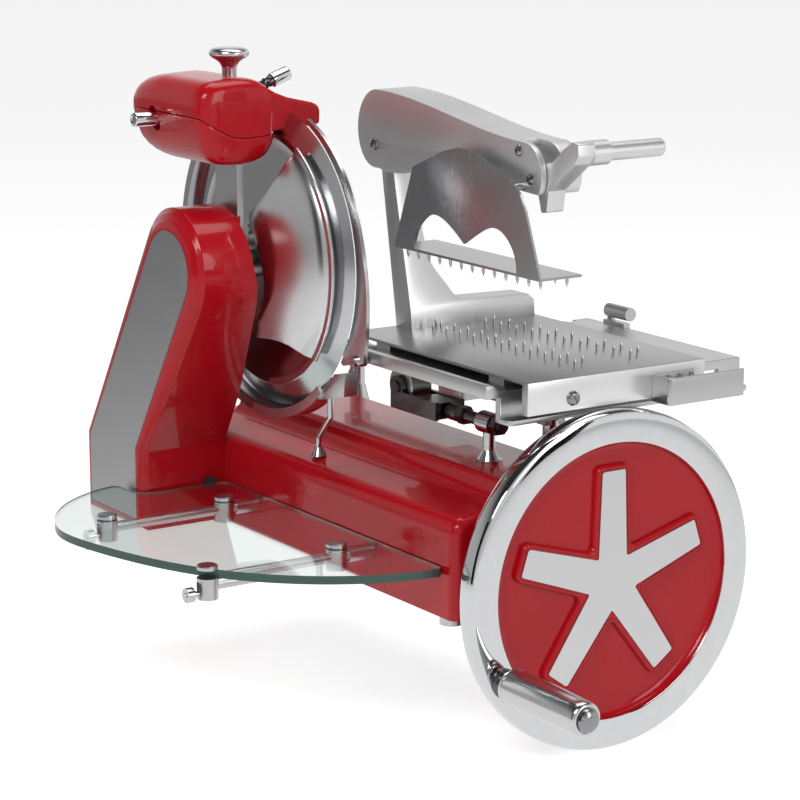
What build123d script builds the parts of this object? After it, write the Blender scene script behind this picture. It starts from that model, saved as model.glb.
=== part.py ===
"""Hand cranked meat slicer with a flywheel, a leaning blade tower and a sliding product carriage.

Frame: +X points along the base to the flywheel, +Y from the slice tray over the blade to the product
table, +Z up. The origin is the centre of the four feet, on the plane that they stand on. All sizes
are in millimetres.
"""
import os
from math import cos, radians, sin

from build123d import *

os.makedirs("parts", exist_ok=True)

# ---------------------------------------------------------------- driving dimensions
# base casting
BASE_LEFT = -247.0
BASE_RIGHT = 263.0
BASE_HALF = 106.0           # half width, front to back
BASE_BOTTOM = 10.0
BASE_WALL = 6.0
WALL_TOP = 91.0             # top of the upright wall, where the shoulder starts
SHOULDER = (BASE_HALF - 14.0, 107.0)    # shoulder, distance from the middle and height
DECK_FOOT = (BASE_HALF - 42.0, 112.5)   # foot of the cove
COVE_TOP = (BASE_HALF - 59.0, 128.0)
PLATEAU_HALF = BASE_HALF - 66.0
PLATEAU_Z = 134.0
PLATEAU_LEFT = -216.0
FOOT_X = 235.0              # stand bolt pattern, half the spacing along X
FOOT_Y = BASE_HALF - 16.0   # stand bolt pattern, half the spacing along Y
FOOT_RADIUS = 11.0
STAND_HOLE = 4.25           # radius for an M8 stand bolt
COVER_SHEET = 2.0

# tower
TOWER_FRONT = -204.0
TOWER_LEFT = -271.0
TOWER_RIGHT = -152.0
TOWER_BOTTOM = 12.0
TOWER_TOP_X = -89.0
TOWER_TOP_Z = 295.0
TOWER_TOP_RADIUS = 51.0
TOWER_LEAN = 32.3           # from the vertical, degrees
TOWER_WALL = 6.0
BRACKET_SEAT = -137.0       # plane of the shaft boss and bracket pad, Y
PLAQUE_MARGIN = 10.5
PLAQUE_SHEET = 1.5

# blade
BLADE_X = -88.0
BLADE_Z = 300.0
BLADE_RADIUS = 150.0
BLADE_Y = -83.0             # plane of the cutting edge
BEVEL_RADIUS = BLADE_RADIUS - 22.0
GUARD_INNER = BLADE_RADIUS + 2.5
GUARD_RADIUS = GUARD_INNER + 9.5
GUARD_FRONT = -97.0
GUARD_REAR = -77.0
COVER_RADIUS = BLADE_RADIUS - 13.0
GAUGE_GAP = 1.5             # cutting edge to the gauge plate
HUB_RADIUS = 19.0
SHAFT_RADIUS = 8.0
GAUGE_FRONT = -83.0
GAUGE_REAR = -79.0

# flywheel and drive
WHEEL_Y = 48.0
WHEEL_Z = 34.0
DISC_FACE = 300.0
WHEEL_RADIUS = 163.5
RIM_FRONT = 303.0
RIM_BACK = 279.0
RIM_WIDTH = 30.7
DISC_RADIUS = WHEEL_RADIUS - RIM_WIDTH
MAIN_SHAFT = 11.0
CRANK_THROW = WHEEL_RADIUS - 16.5
CRANK_ANGLE = 211.1         # from +Y towards +Z, degrees
SPIN_GAP = 0.3              # radial clearance of a piece that turns on a pin

# carriage
BED_TOP = 219.0
BED_SHEET = 6.0
BED_LEFT = 14.0
BED_RIGHT = 256.0
BED_FRONT = -70.0
BED_REAR = 234.0
LEG_WALL = 8.0
LEG_BOTTOM = 188.5
FLANGE_RIGHT = 270.0
RAIL_WIDTH = 19.0
RAIL_BOTTOM = 214.0
RAIL_TOP = 226.5
BAR_RADIUS = 10.0
BAR_Y = 62.0
BAR_Z = 176.0
RUN_GAP = 0.1

# product table
TABLE_TOP = 230.5
TABLE_SHEET = 3.0
TABLE_LEFT = -12.0
TABLE_RIGHT = 286.0
TABLE_FRONT = -42.0
TABLE_REAR = 165.0
CHEEK = 9.0
CHEEK_BOTTOM = 199.5

# press arm and gripper
COLUMN_FRONT = 13.0
ARM_FRONT = -6.0
ARM_REAR = 40.0
PIVOT_X = -22.0
PIVOT_Z = 413.0
LEVER_X = 238.5
LEVER_Z = 408.5
GRIPPER_Y = -22.0
GRIPPER_SHEET = 2.5
GRIPPER_REAR = 26.0
GRIPPER_Z = 323.0

# slice tray
GLASS_TOP = 59.0
GLASS = 8.0
ROD_Z = 43.0
ROD_RADIUS = 5.0
ROD_LEFT = -82.0
ROD_RIGHT = 130.0

# sharpener
HEAD_FRONT = -184.0
HEAD_REAR = -95.0
HOOD_REAR = -51.0

BLADE_AXIS = Axis((BLADE_X, 0, BLADE_Z), (0, 1, 0))
WHEEL_AXIS = Axis((0, WHEEL_Y, WHEEL_Z), (1, 0, 0))
CRANK_Y = WHEEL_Y + CRANK_THROW * cos(radians(CRANK_ANGLE))
CRANK_Z = WHEEL_Z + CRANK_THROW * sin(radians(CRANK_ANGLE))
CRANK_AXIS = Axis((0, CRANK_Y, CRANK_Z), (1, 0, 0))
FROM_START = (Align.CENTER, Align.CENTER, Align.MIN)


def block(x0, x1, y0, y1, z0, z1, mode=Mode.ADD):
    """Box between two corners, in the part being built."""
    with Locations(((x0 + x1) / 2, (y0 + y1) / 2, (z0 + z1) / 2)):
        Box(x1 - x0, y1 - y0, z1 - z0, mode=mode)


def bar(radius, start, end, tip=None, mode=Mode.ADD):
    """Round bar, or cone with a tip radius, between two points in the part being built."""
    run = Vector(*end) - Vector(*start)
    with Locations(Plane(origin=start, z_dir=run)):
        if tip is None:
            Cylinder(radius, run.length, align=FROM_START, mode=mode)
        else:
            Cone(radius, tip, run.length, align=FROM_START, mode=mode)


def front(y):
    """Plane at one Y with X to the right and Z up. A negative extrusion runs towards +Y."""
    return Plane.XZ.offset(-y)


def side(x):
    """Plane at one X with Y to the right and Z up. An extrusion runs towards +X."""
    return Plane.YZ.offset(x)


def leaning_points(margin):
    """Corners of the tower outline drawn in by a margin, without its round top."""
    lean = radians(TOWER_LEAN)
    radius = TOWER_TOP_RADIUS - margin
    left_x = TOWER_TOP_X - radius * cos(lean)
    left_z = TOWER_TOP_Z + radius * sin(lean)
    right_x = TOWER_TOP_X + radius * cos(lean)
    right_z = TOWER_TOP_Z - radius * sin(lean)
    foot_left = TOWER_LEFT + margin
    foot_right = TOWER_RIGHT - margin
    bend_left = left_z - (left_x - foot_left) * cos(lean) / sin(lean)
    bend_right = right_z - (right_x - foot_right) * cos(lean) / sin(lean)
    bottom = TOWER_BOTTOM + margin
    return [
        (foot_left, bottom),
        (foot_left, bend_left),
        (left_x, left_z),
        (right_x, right_z),
        (foot_right, bend_right),
        (foot_right, bottom),
    ]


def finish(part, name):
    """Label one piece and write it to its own file."""
    part.part.label = name
    export_step(part.part, "parts/" + name + ".step")


# ---------------------------------------------------------------- base
# The casting is one cross section run along X: an upright wall, a soft shoulder, a deck that rises
# gently, a cove and a flat plateau. The plateau starts further right than the lower body.
with BuildPart() as base_casting:
    with BuildSketch(side(BASE_LEFT)):
        with BuildLine():
            Line((0, BASE_BOTTOM), (BASE_HALF, BASE_BOTTOM))
            Line((BASE_HALF, BASE_BOTTOM), (BASE_HALF, WALL_TOP))
            TangentArc((BASE_HALF, WALL_TOP), SHOULDER, tangent=(0, 1))
            Line(SHOULDER, DECK_FOOT)
            Line(DECK_FOOT, (0, DECK_FOOT[1] + 1.5))
            mirror(about=Plane.YZ)
        make_face()
    extrude(amount=BASE_RIGHT - BASE_LEFT)
    ends = base_casting.edges().group_by(Axis.X)
    rims = [edge for edge in ends[0] + ends[-1] if edge.center().Z > BASE_BOTTOM + 1]
    fillet(rims, 10)
    with BuildSketch(side(PLATEAU_LEFT)):
        with BuildLine():
            Line((0, 90), (DECK_FOOT[0], 90))
            Line((DECK_FOOT[0], 90), DECK_FOOT)
            ThreePointArc(DECK_FOOT, (BASE_HALF - 53.5, 117.5), COVE_TOP)
            ThreePointArc(COVE_TOP, (BASE_HALF - 61, 132), (PLATEAU_HALF, PLATEAU_Z))
            Line((PLATEAU_HALF, PLATEAU_Z), (0, PLATEAU_Z))
            mirror(about=Plane.YZ)
        make_face()
    extrude(amount=BASE_RIGHT - PLATEAU_LEFT)
    block(BASE_LEFT + BASE_WALL, BASE_RIGHT - BASE_WALL, BASE_WALL - BASE_HALF,
          BASE_HALF - BASE_WALL, 0, 98, mode=Mode.SUBTRACT)
    block(PLATEAU_LEFT + BASE_WALL, BASE_RIGHT - BASE_WALL, -PLATEAU_HALF, PLATEAU_HALF,
          98, PLATEAU_Z - BASE_WALL, mode=Mode.SUBTRACT)
    for x in (-FOOT_X, FOOT_X):
        for y in (-FOOT_Y, FOOT_Y):
            bar(13, (x, y, BASE_BOTTOM), (x, y, 40))
            bar(STAND_HOLE, (x, y, 0), (x, y, 34), mode=Mode.SUBTRACT)
    bar(MAIN_SHAFT + 6, (BASE_RIGHT - 10, WHEEL_Y, WHEEL_Z), (BASE_RIGHT + 1, WHEEL_Y, WHEEL_Z),
        mode=Mode.SUBTRACT)
finish(base_casting, "base_casting")

with BuildPart() as base_cover:
    block(BASE_LEFT + 18, BASE_RIGHT - 18, 18 - BASE_HALF, BASE_HALF - 18,
          BASE_BOTTOM, BASE_BOTTOM + COVER_SHEET)
    for x in (-FOOT_X, FOOT_X):
        for y in (-FOOT_Y, FOOT_Y):
            bar(13.4, (x, y, 0), (x, y, 20), mode=Mode.SUBTRACT)
finish(base_cover, "base_cover")

with BuildPart() as base_feet:
    with Locations((0, 0, 0)):
        with GridLocations(2 * FOOT_X, 2 * FOOT_Y, 2, 2):
            Cylinder(FOOT_RADIUS, BASE_BOTTOM, align=FROM_START)
            Cylinder(STAND_HOLE, BASE_BOTTOM, align=FROM_START, mode=Mode.SUBTRACT)
finish(base_feet, "base_feet")

# ---------------------------------------------------------------- tower
# The rear of the tower leans forward, so the casting gets thinner towards its round top.
with BuildPart() as tower_room:
    with BuildSketch(front(TOWER_FRONT + TOWER_WALL)):
        with BuildLine():
            Polyline(*leaning_points(TOWER_WALL), close=True)
        make_face()
        with Locations((TOWER_TOP_X, TOWER_TOP_Z)):
            Circle(TOWER_TOP_RADIUS - TOWER_WALL)
    extrude(amount=TOWER_FRONT + BASE_HALF + 2 * TOWER_WALL)
    with BuildSketch(side(-300)):
        with BuildLine():
            Polyline((-210, 0), (-112, 0), (-112, 110), (-115, 161), (-126, 218),
                     (-146, 304), (-153, 360), (-210, 360), close=True)
        make_face()
    extrude(amount=400, mode=Mode.INTERSECT)

with BuildPart() as tower_housing:
    with BuildSketch(front(TOWER_FRONT)):
        with BuildLine():
            Polyline(*leaning_points(0), close=True)
        make_face()
        with Locations((TOWER_TOP_X, TOWER_TOP_Z)):
            Circle(TOWER_TOP_RADIUS)
    extrude(amount=TOWER_FRONT + BASE_HALF)
    with BuildSketch(side(-300)):
        with BuildLine():
            Polyline((-210, 0), (-BASE_HALF, 0), (-BASE_HALF, 110), (-109, 161), (-120, 218),
                     (-140, 304), (-147, 360), (-210, 360), close=True)
        make_face()
    extrude(amount=400, mode=Mode.INTERSECT)
    fillet(tower_housing.edges().group_by(Axis.Y)[0], 10)
    add(tower_room.part, mode=Mode.SUBTRACT)
    bar(24, (BLADE_X, -150, BLADE_Z), (BLADE_X, BRACKET_SEAT, BLADE_Z))
    block(-112, -64, -150, BRACKET_SEAT, 318, 338)
    bar(SHAFT_RADIUS + SPIN_GAP, (BLADE_X, -170, BLADE_Z), (BLADE_X, -130, BLADE_Z),
        mode=Mode.SUBTRACT)
    with BuildSketch(front(TOWER_FRONT)):
        with BuildLine():
            Polyline(*leaning_points(PLAQUE_MARGIN), close=True)
        make_face()
        with Locations((TOWER_TOP_X, TOWER_TOP_Z)):
            Circle(TOWER_TOP_RADIUS - PLAQUE_MARGIN)
    extrude(amount=-PLAQUE_SHEET, mode=Mode.SUBTRACT)
finish(tower_housing, "tower_housing")

with BuildPart() as tower_plaque:
    with BuildSketch(front(TOWER_FRONT)):
        with BuildLine():
            Polyline(*leaning_points(PLAQUE_MARGIN + 0.4), close=True)
        make_face()
        with Locations((TOWER_TOP_X, TOWER_TOP_Z)):
            Circle(TOWER_TOP_RADIUS - PLAQUE_MARGIN - 0.4)
    extrude(amount=-PLAQUE_SHEET)
finish(tower_plaque, "tower_plaque")

# ---------------------------------------------------------------- blade
with BuildPart() as blade:
    with BuildSketch(side(BLADE_X)):
        with BuildLine():
            Polyline((BLADE_Y, BLADE_Z + BLADE_RADIUS), (-93.5, BLADE_Z + BEVEL_RADIUS),
                     (-93.5, BLADE_Z + BEVEL_RADIUS - 6), (-91.5, BLADE_Z + BEVEL_RADIUS - 9),
                     (-91.5, BLADE_Z + SHAFT_RADIUS), (-87, BLADE_Z + SHAFT_RADIUS),
                     (-87, BLADE_Z + BLADE_RADIUS - 32), (-84.5, BLADE_Z + BLADE_RADIUS - 12), close=True)
        make_face()
    revolve(axis=BLADE_AXIS)
finish(blade, "blade")

with BuildPart() as blade_hub:
    bar(HUB_RADIUS, (BLADE_X, -128, BLADE_Z), (BLADE_X, -91.5, BLADE_Z))
    bar(44, (BLADE_X, -97.5, BLADE_Z), (BLADE_X, -91.5, BLADE_Z))
    bar(SHAFT_RADIUS, (BLADE_X, -130, BLADE_Z), (BLADE_X, -90, BLADE_Z), mode=Mode.SUBTRACT)
    with Locations(Plane(origin=(BLADE_X, -97.5, BLADE_Z), z_dir=(0, -1, 0))):
        with PolarLocations(34, 4, start_angle=45):
            Cylinder(5, 3, align=FROM_START)
finish(blade_hub, "blade_hub")

with BuildPart() as blade_shaft:
    bar(SHAFT_RADIUS, (BLADE_X, -192, BLADE_Z), (BLADE_X, -84, BLADE_Z))
    bar(12, (BLADE_X, -87, BLADE_Z), (BLADE_X, -82, BLADE_Z))
finish(blade_shaft, "blade_shaft")

# The cover plate is a pressed dome, cut straight beside the hub and slanted below the sharpener.
# Each point of its section is a plane along Y and a share of the cover radius.
COVER_OUTER = ((-99, 1.0), (-104, 0.956), (-105.5, 0.861), (-111.5, 0.635), (-120, 0.416), (-127, 0.146))
COVER_INNER = ((-125, 0.146), (-118, 0.416), (-109.5, 0.628), (-103.5, 0.854), (-102, 0.942), (-97.5, 0.989))
with BuildPart() as blade_cover:
    with BuildSketch(side(BLADE_X)):
        with BuildLine():
            skin = [(y, BLADE_Z + share * COVER_RADIUS) for y, share in COVER_OUTER]
            lining = [(y, BLADE_Z + share * COVER_RADIUS) for y, share in COVER_INNER]
            Spline(*skin)
            Line(skin[-1], lining[0])
            Spline(*lining)
            Line(lining[-1], skin[0])
        make_face()
    revolve(axis=BLADE_AXIS)
    with BuildSketch(front(-60)):
        with BuildLine():
            Polyline((BLADE_X - 4, BLADE_Z + 45), (BLADE_X + 75, BLADE_Z + 113),
                     (BLADE_X + 75, BLADE_Z + 170), (BLADE_X + 208, BLADE_Z + 170),
                     (BLADE_X + 208, BLADE_Z - 180), (BLADE_X - 4, BLADE_Z - 180), close=True)
        make_face()
    extrude(amount=100, mode=Mode.INTERSECT)
    with BuildSketch(front(-60)):
        with Locations((BLADE_X, BLADE_Z)):
            Circle(25)
        with BuildLine():
            Polyline((BLADE_X - 4, BLADE_Z - 113), (BLADE_X + 36, BLADE_Z - 128),
                     (BLADE_X + 36, BLADE_Z - 180), (BLADE_X - 4, BLADE_Z - 180), close=True)
        make_face()
    extrude(amount=100, mode=Mode.SUBTRACT)
finish(blade_cover, "blade_cover")

GUARD_OPEN = (-48, 138)     # the ring is open between these directions, degrees
with BuildPart() as blade_guard:
    with BuildSketch(side(BLADE_X)):
        with BuildLine():
            Polyline((GUARD_FRONT, BLADE_Z + GUARD_RADIUS), (GUARD_REAR, BLADE_Z + GUARD_RADIUS),
                     (GUARD_REAR, BLADE_Z + BLADE_RADIUS - 8), (GUARD_REAR - 2.5, BLADE_Z + BLADE_RADIUS - 8),
                     (GUARD_REAR - 2.5, BLADE_Z + GUARD_INNER + 5),
                     (GUARD_FRONT + 3, BLADE_Z + GUARD_INNER + 5),
                     (GUARD_FRONT + 3, BLADE_Z + GUARD_INNER),
                     (GUARD_FRONT, BLADE_Z + GUARD_INNER), close=True)
        make_face()
    revolve(axis=BLADE_AXIS)
    with BuildSketch(front(-60)):
        with BuildLine():
            reach = 3 * GUARD_RADIUS
            rays = [(BLADE_X + reach * cos(radians(a)), BLADE_Z + reach * sin(radians(a)))
                    for a in (GUARD_OPEN[0], 45, GUARD_OPEN[1])]
            Polyline((BLADE_X, BLADE_Z), *rays, close=True)
        make_face()
    extrude(amount=80, mode=Mode.SUBTRACT)
finish(blade_guard, "blade_guard")

with BuildPart() as guard_bracket:
    with BuildSketch(front(-95)):
        with BuildLine():
            Polyline((10, 197), (61, 206), (59, 183), (13, 172), close=True)
        make_face()
    extrude(amount=-16)
    block(38, 53, -79, -75, 186, 224)
    bar(GUARD_RADIUS, (BLADE_X, -110, BLADE_Z), (BLADE_X, -70, BLADE_Z), mode=Mode.SUBTRACT)
finish(guard_bracket, "guard_bracket")

with BuildPart() as guard_stay:
    bar(3, (24, -88, 178), (24, -88, 156))
    bar(3, (24, -88, 156), (-4, -84, 130))
    bar(3, (-4, -84, 130), (-8, -82, 116))
    for bend in ((24, -88, 156), (-4, -84, 130)):
        with Locations(bend):
            Sphere(3)
    bar(8, (-8, -82, 110.5), (-8, -82, 121), tip=3.5)
    with BuildSketch(side(-60)):
        with BuildLine():
            Polyline((-SHOULDER[0], 60), (-SHOULDER[0], SHOULDER[1]), (-DECK_FOOT[0], DECK_FOOT[1]),
                     (-DECK_FOOT[0], 60), close=True)
        make_face()
    extrude(amount=120, mode=Mode.SUBTRACT)
    add(guard_bracket.part, mode=Mode.SUBTRACT)
finish(guard_stay, "guard_stay")

# The gauge plate is a crescent round the open side of the blade, wider towards its foot.
GAUGE_EDGE = ((66, 6), (55, 8), (40, 10), (24, 11), (11, 13), (-2, 18), (-14, 24), (-27, 33))
with BuildPart() as gauge_plate:
    with BuildSketch(front(GAUGE_FRONT)):
        with BuildLine():
            edge = [(BLADE_X + (BLADE_RADIUS + width) * cos(radians(a)),
                     BLADE_Z + (BLADE_RADIUS + width) * sin(radians(a))) for a, width in GAUGE_EDGE]
            Spline(*edge)
            Line(edge[-1], (BLADE_X + 127, BLADE_Z - 91))
            Line((BLADE_X + 127, BLADE_Z - 91), (BLADE_X, BLADE_Z))
            Line((BLADE_X, BLADE_Z), edge[0])
        make_face()
        with Locations((BLADE_X, BLADE_Z)):
            Circle(BLADE_RADIUS + GAUGE_GAP, mode=Mode.SUBTRACT)
    extrude(amount=GAUGE_FRONT - GAUGE_REAR)
    bar(2.5, (60, -90, 217), (60, -70, 217), mode=Mode.SUBTRACT)
finish(gauge_plate, "gauge_plate")

with BuildPart() as gauge_stud:
    bar(5.5, (60, GAUGE_FRONT, 217), (60, GAUGE_FRONT - 3, 217))
    bar(6, (60, GAUGE_REAR, 217), (60, -71.5, 217))
    bar(2.5, (60, GAUGE_FRONT, 217), (60, GAUGE_REAR, 217))
    block(54, 66, GAUGE_FRONT - 4, GAUGE_FRONT - 2, 216.3, 217.7, mode=Mode.SUBTRACT)
finish(gauge_stud, "gauge_stud")

# ---------------------------------------------------------------- sharpener
with BuildPart() as sharpener_support:
    block(-109, -67, BRACKET_SEAT, -130, 316, 404)
    block(-106, -93, BRACKET_SEAT, -130, 272, 320)
    block(-94, -60, -130.5, -128, 272, 280)
    block(-94, -60, -130.5, -128, 320, 328)
    for z in (276, 324):
        bar(3, (-68, -129, z), (-68, -124.6, z))
    add(blade_cover.part, mode=Mode.SUBTRACT)
    bar(SHAFT_RADIUS + 3, (BLADE_X, -140, BLADE_Z), (BLADE_X, -126, BLADE_Z), mode=Mode.SUBTRACT)
    add(tower_housing.part, mode=Mode.SUBTRACT)
finish(sharpener_support, "sharpener_support")

# The two head shells share one outline and meet on a wavy parting line.
with BuildPart() as head_form:
    with BuildSketch(side(-205)) as head_side:
        with BuildLine():
            Polyline((HEAD_FRONT, 410), (HEAD_FRONT, 476), (-158, 488), (-118, 485), (HEAD_REAR, 462),
                     (HEAD_REAR, 426), (-110, 398), (-172, 397), close=True)
        make_face()
        fillet(head_side.vertices(), 9)
    extrude(amount=150)
    fillet(head_form.edges().group_by(Axis.X)[0] + head_form.edges().group_by(Axis.X)[-1], 8)
    with BuildSketch(side(-140)):
        with BuildLine():
            Polyline((HEAD_REAR - 12, 433), (HOOD_REAR, 433), (HOOD_REAR, 452), (HOOD_REAR - 3, 456),
                     (HOOD_REAR - 16, 460), (HEAD_REAR - 12, 464), close=True)
        make_face()
    extrude(amount=85)
    block(-197, -63, HEAD_FRONT + 8, HEAD_REAR + 1, 410, 456, mode=Mode.SUBTRACT)
    block(-134, -61, HEAD_REAR - 14, HOOD_REAR - 5, 405, 455, mode=Mode.SUBTRACT)
    bar(BLADE_RADIUS + 3, (BLADE_X, -98, BLADE_Z), (BLADE_X, GUARD_REAR, BLADE_Z), mode=Mode.SUBTRACT)

with BuildPart() as parting:
    with BuildSketch(side(-260)):
        with BuildLine():
            Spline((-200, 452), (-184, 447), (-160, 436), (-130, 431), (-95, 431), (-40, 431))
            Line((-40, 431), (-40, 560))
            Line((-40, 560), (-200, 560))
            Line((-200, 560), (-200, 452))
        make_face()
    extrude(amount=260)

with BuildPart() as sharpener_cap:
    add(head_form.part)
    add(parting.part, mode=Mode.INTERSECT)
    bar(7, (-105, -122, 470), (-105, -122, 490), mode=Mode.SUBTRACT)
    bar(7.5, (-147, -190, 437.5), (-147, -170, 437.5), mode=Mode.SUBTRACT)
    bar(5.3, (-120, -110, 454), (-120, -70, 468.4), mode=Mode.SUBTRACT)
finish(sharpener_cap, "sharpener_cap")

with BuildPart() as sharpener_body:
    add(head_form.part)
    add(parting.part.moved(Location((0, 0, -0.5))), mode=Mode.SUBTRACT)
    bar(7.5, (-147, -190, 437.5), (-147, -170, 437.5), mode=Mode.SUBTRACT)
    block(-109, -67, BRACKET_SEAT, -130, 380, 404, mode=Mode.SUBTRACT)
finish(sharpener_body, "sharpener_body")

with BuildPart() as sharpener_knob:
    bar(6.5, (-105, -122, 470), (-105, -122, 492))
    bar(6.5, (-105, -122, 492), (-105, -122, 497), tip=17)
    bar(19, (-105, -122, 497), (-105, -122, 503))
    bar(19, (-105, -122, 503), (-105, -122, 508), tip=8)
    fillet(sharpener_knob.edges().filter_by(lambda e: e.center().Z > 500), 2)
finish(sharpener_knob, "sharpener_knob")

with BuildPart() as sharpening_pin:
    bar(5, (-147, -200, 437.5), (-147, -112, 437.5))
    bar(7.2, (-147, -214, 437.5), (-147, -176, 437.5))
    bar(4.6, (-147, -215, 437.5), (-147, -207, 437.5), mode=Mode.SUBTRACT)
finish(sharpening_pin, "sharpening_pin")

with BuildPart() as sharpening_stone:
    bar(17, (-147, -112, 437.5), (-147, -99, 437.5))
finish(sharpening_stone, "sharpening_stone")

TILT_START = (-120, -104, 456.2)
TILT_END = (-120, -45, 477.4)
with BuildPart() as deburring_pin:
    bar(5, TILT_START, TILT_END)
    bar(7.5, (-120, -62, 471.3), TILT_END)
finish(deburring_pin, "deburring_pin")

with BuildPart() as deburring_stone:
    bar(7.5, (-96, -76, 444), (-96, -67, 444))
    bar(3, (-96, -67, 444), (-96, HOOD_REAR - 5, 444))
finish(deburring_stone, "deburring_stone")

# ---------------------------------------------------------------- flywheel
with BuildPart() as flywheel_rim:
    with BuildSketch(front(WHEEL_Y)):
        with BuildLine():
            Polyline((RIM_BACK, WHEEL_Z + DISC_RADIUS), (RIM_FRONT - 1, WHEEL_Z + DISC_RADIUS),
                     (RIM_FRONT, WHEEL_Z + DISC_RADIUS + 1), (RIM_FRONT, WHEEL_Z + WHEEL_RADIUS),
                     (RIM_BACK, WHEEL_Z + WHEEL_RADIUS), close=True)
        make_face()
    revolve(axis=WHEEL_AXIS)
    fillet(flywheel_rim.edges().filter_by(GeomType.CIRCLE).group_by(SortBy.RADIUS)[-1], 7)
    bar(6, (RIM_BACK - 1, CRANK_Y, CRANK_Z), (RIM_FRONT + 1, CRANK_Y, CRANK_Z), mode=Mode.SUBTRACT)
finish(flywheel_rim, "flywheel_rim")

with BuildPart() as flywheel_disc:
    bar(DISC_RADIUS, (290, WHEEL_Y, WHEEL_Z), (DISC_FACE, WHEEL_Y, WHEEL_Z))
    bar(30, (266, WHEEL_Y, WHEEL_Z), (290, WHEEL_Y, WHEEL_Z), tip=44)
    with Locations(Plane(origin=(280, WHEEL_Y, WHEEL_Z), z_dir=(1, 0, 0))):
        with PolarLocations(86, 5):
            Box(92, 12, 20)
    bar(MAIN_SHAFT, (260, WHEEL_Y, WHEEL_Z), (294, WHEEL_Y, WHEEL_Z), mode=Mode.SUBTRACT)
finish(flywheel_disc, "flywheel_disc")

# Five tapered spokes and a boss stand up from the face; their flat tops carry polished inlays.
with BuildPart() as wheel_relief:
    with BuildSketch(side(DISC_FACE)) as relief_face:
        with Locations((WHEEL_Y, WHEEL_Z)):
            Circle(34)
            with PolarLocations(0, 5, start_angle=18):
                with Locations((66, 0)):
                    Trapezoid(96, 34, 84, rotation=0)
    extrude(amount=8, taper=28)
finish(wheel_relief, "wheel_relief")

with BuildPart() as crank_pin:
    bar(6, (RIM_BACK + 1, CRANK_Y, CRANK_Z), (429, CRANK_Y, CRANK_Z))
    bar(11, (428.6, CRANK_Y, CRANK_Z), (431, CRANK_Y, CRANK_Z))
    bar(11, (431, CRANK_Y, CRANK_Z), (435, CRANK_Y, CRANK_Z), tip=5)
    with Locations(Location((434.2, CRANK_Y, CRANK_Z), (30, 0, 0))):
        Box(3, 24, 1.8, mode=Mode.SUBTRACT)
finish(crank_pin, "crank_pin")

with BuildPart() as crank_collar:
    bar(12.5, (RIM_FRONT, CRANK_Y, CRANK_Z), (RIM_FRONT + 10, CRANK_Y, CRANK_Z), tip=11)
    bar(6, (RIM_FRONT - 1, CRANK_Y, CRANK_Z), (RIM_FRONT + 11, CRANK_Y, CRANK_Z), mode=Mode.SUBTRACT)
finish(crank_collar, "crank_collar")

with BuildPart() as crank_grip:
    bar(11, (RIM_FRONT + 10.5, CRANK_Y, CRANK_Z), (424, CRANK_Y, CRANK_Z), tip=15)
    bar(15, (424, CRANK_Y, CRANK_Z), (428, CRANK_Y, CRANK_Z), tip=13.5)
    bar(6 + SPIN_GAP, (RIM_FRONT, CRANK_Y, CRANK_Z), (440, CRANK_Y, CRANK_Z), mode=Mode.SUBTRACT)
finish(crank_grip, "crank_grip")

with BuildPart() as main_shaft:
    bar(MAIN_SHAFT, (200, WHEEL_Y, WHEEL_Z), (294, WHEEL_Y, WHEEL_Z))
    bar(16, (264.5, WHEEL_Y, WHEEL_Z), (266, WHEEL_Y, WHEEL_Z))
finish(main_shaft, "main_shaft")

with BuildPart() as shaft_bearing:
    bar(MAIN_SHAFT + 6, (BASE_RIGHT - 12, WHEEL_Y, WHEEL_Z), (BASE_RIGHT + 1, WHEEL_Y, WHEEL_Z))
    bar(24, (BASE_RIGHT - 14, WHEEL_Y, WHEEL_Z), (BASE_RIGHT - 6, WHEEL_Y, WHEEL_Z))
    block(BASE_RIGHT - 20, BASE_RIGHT + 10, WHEEL_Y - 30, WHEEL_Y + 30, 0, 12.5, mode=Mode.SUBTRACT)
    bar(MAIN_SHAFT + SPIN_GAP, (240, WHEEL_Y, WHEEL_Z), (270, WHEEL_Y, WHEEL_Z), mode=Mode.SUBTRACT)
finish(shaft_bearing, "shaft_bearing")

# ---------------------------------------------------------------- slice tray
with BuildPart() as glass_tray:
    with BuildSketch(Plane.XY.offset(GLASS_TOP - GLASS)):
        with BuildLine():
            Spline((-192, -218), (-180, -252), (-154, -289), (-120, -317), (-62, -339), (-10, -335),
                   (62, -317), (132, -286), (204, -221), (231, -175), (247, -112))
            Line((247, -112), (244, -108))
            Line((244, -108), (-136, -108))
            ThreePointArc((-136, -108), (-143, -111), (-146, -118))
            Line((-146, -118), (-146, -182))
            Spline((-146, -182), (-149, -196), (-158, -206), (-171, -209), (-186, -210))
            ThreePointArc((-186, -210), (-190.5, -212.5), (-192, -218))
        make_face()
    extrude(amount=GLASS)
finish(glass_tray, "glass_tray")

with BuildPart() as tray_rods:
    bar(ROD_RADIUS, (ROD_LEFT, -284, ROD_Z), (ROD_LEFT, -BASE_HALF, ROD_Z))
    bar(ROD_RADIUS, (ROD_RIGHT, -292, ROD_Z), (ROD_RIGHT, -BASE_HALF, ROD_Z))
    bar(7.5, (ROD_LEFT, -137, ROD_Z), (ROD_LEFT, -BASE_HALF, ROD_Z))
    bar(7.5, (ROD_RIGHT, -138, ROD_Z), (ROD_RIGHT, -BASE_HALF, ROD_Z))
finish(tray_rods, "tray_rods")

with BuildPart() as tray_clamps:
    for x, y in ((ROD_LEFT, -280), (ROD_RIGHT, -289), (ROD_LEFT, -148), (ROD_RIGHT, -149)):
        bar(10, (x, y, ROD_Z - 12), (x, y, GLASS_TOP - GLASS))
        bar(ROD_RADIUS, (x, y - 20, ROD_Z), (x, y + 20, ROD_Z), mode=Mode.SUBTRACT)
finish(tray_clamps, "tray_clamps")

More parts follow.
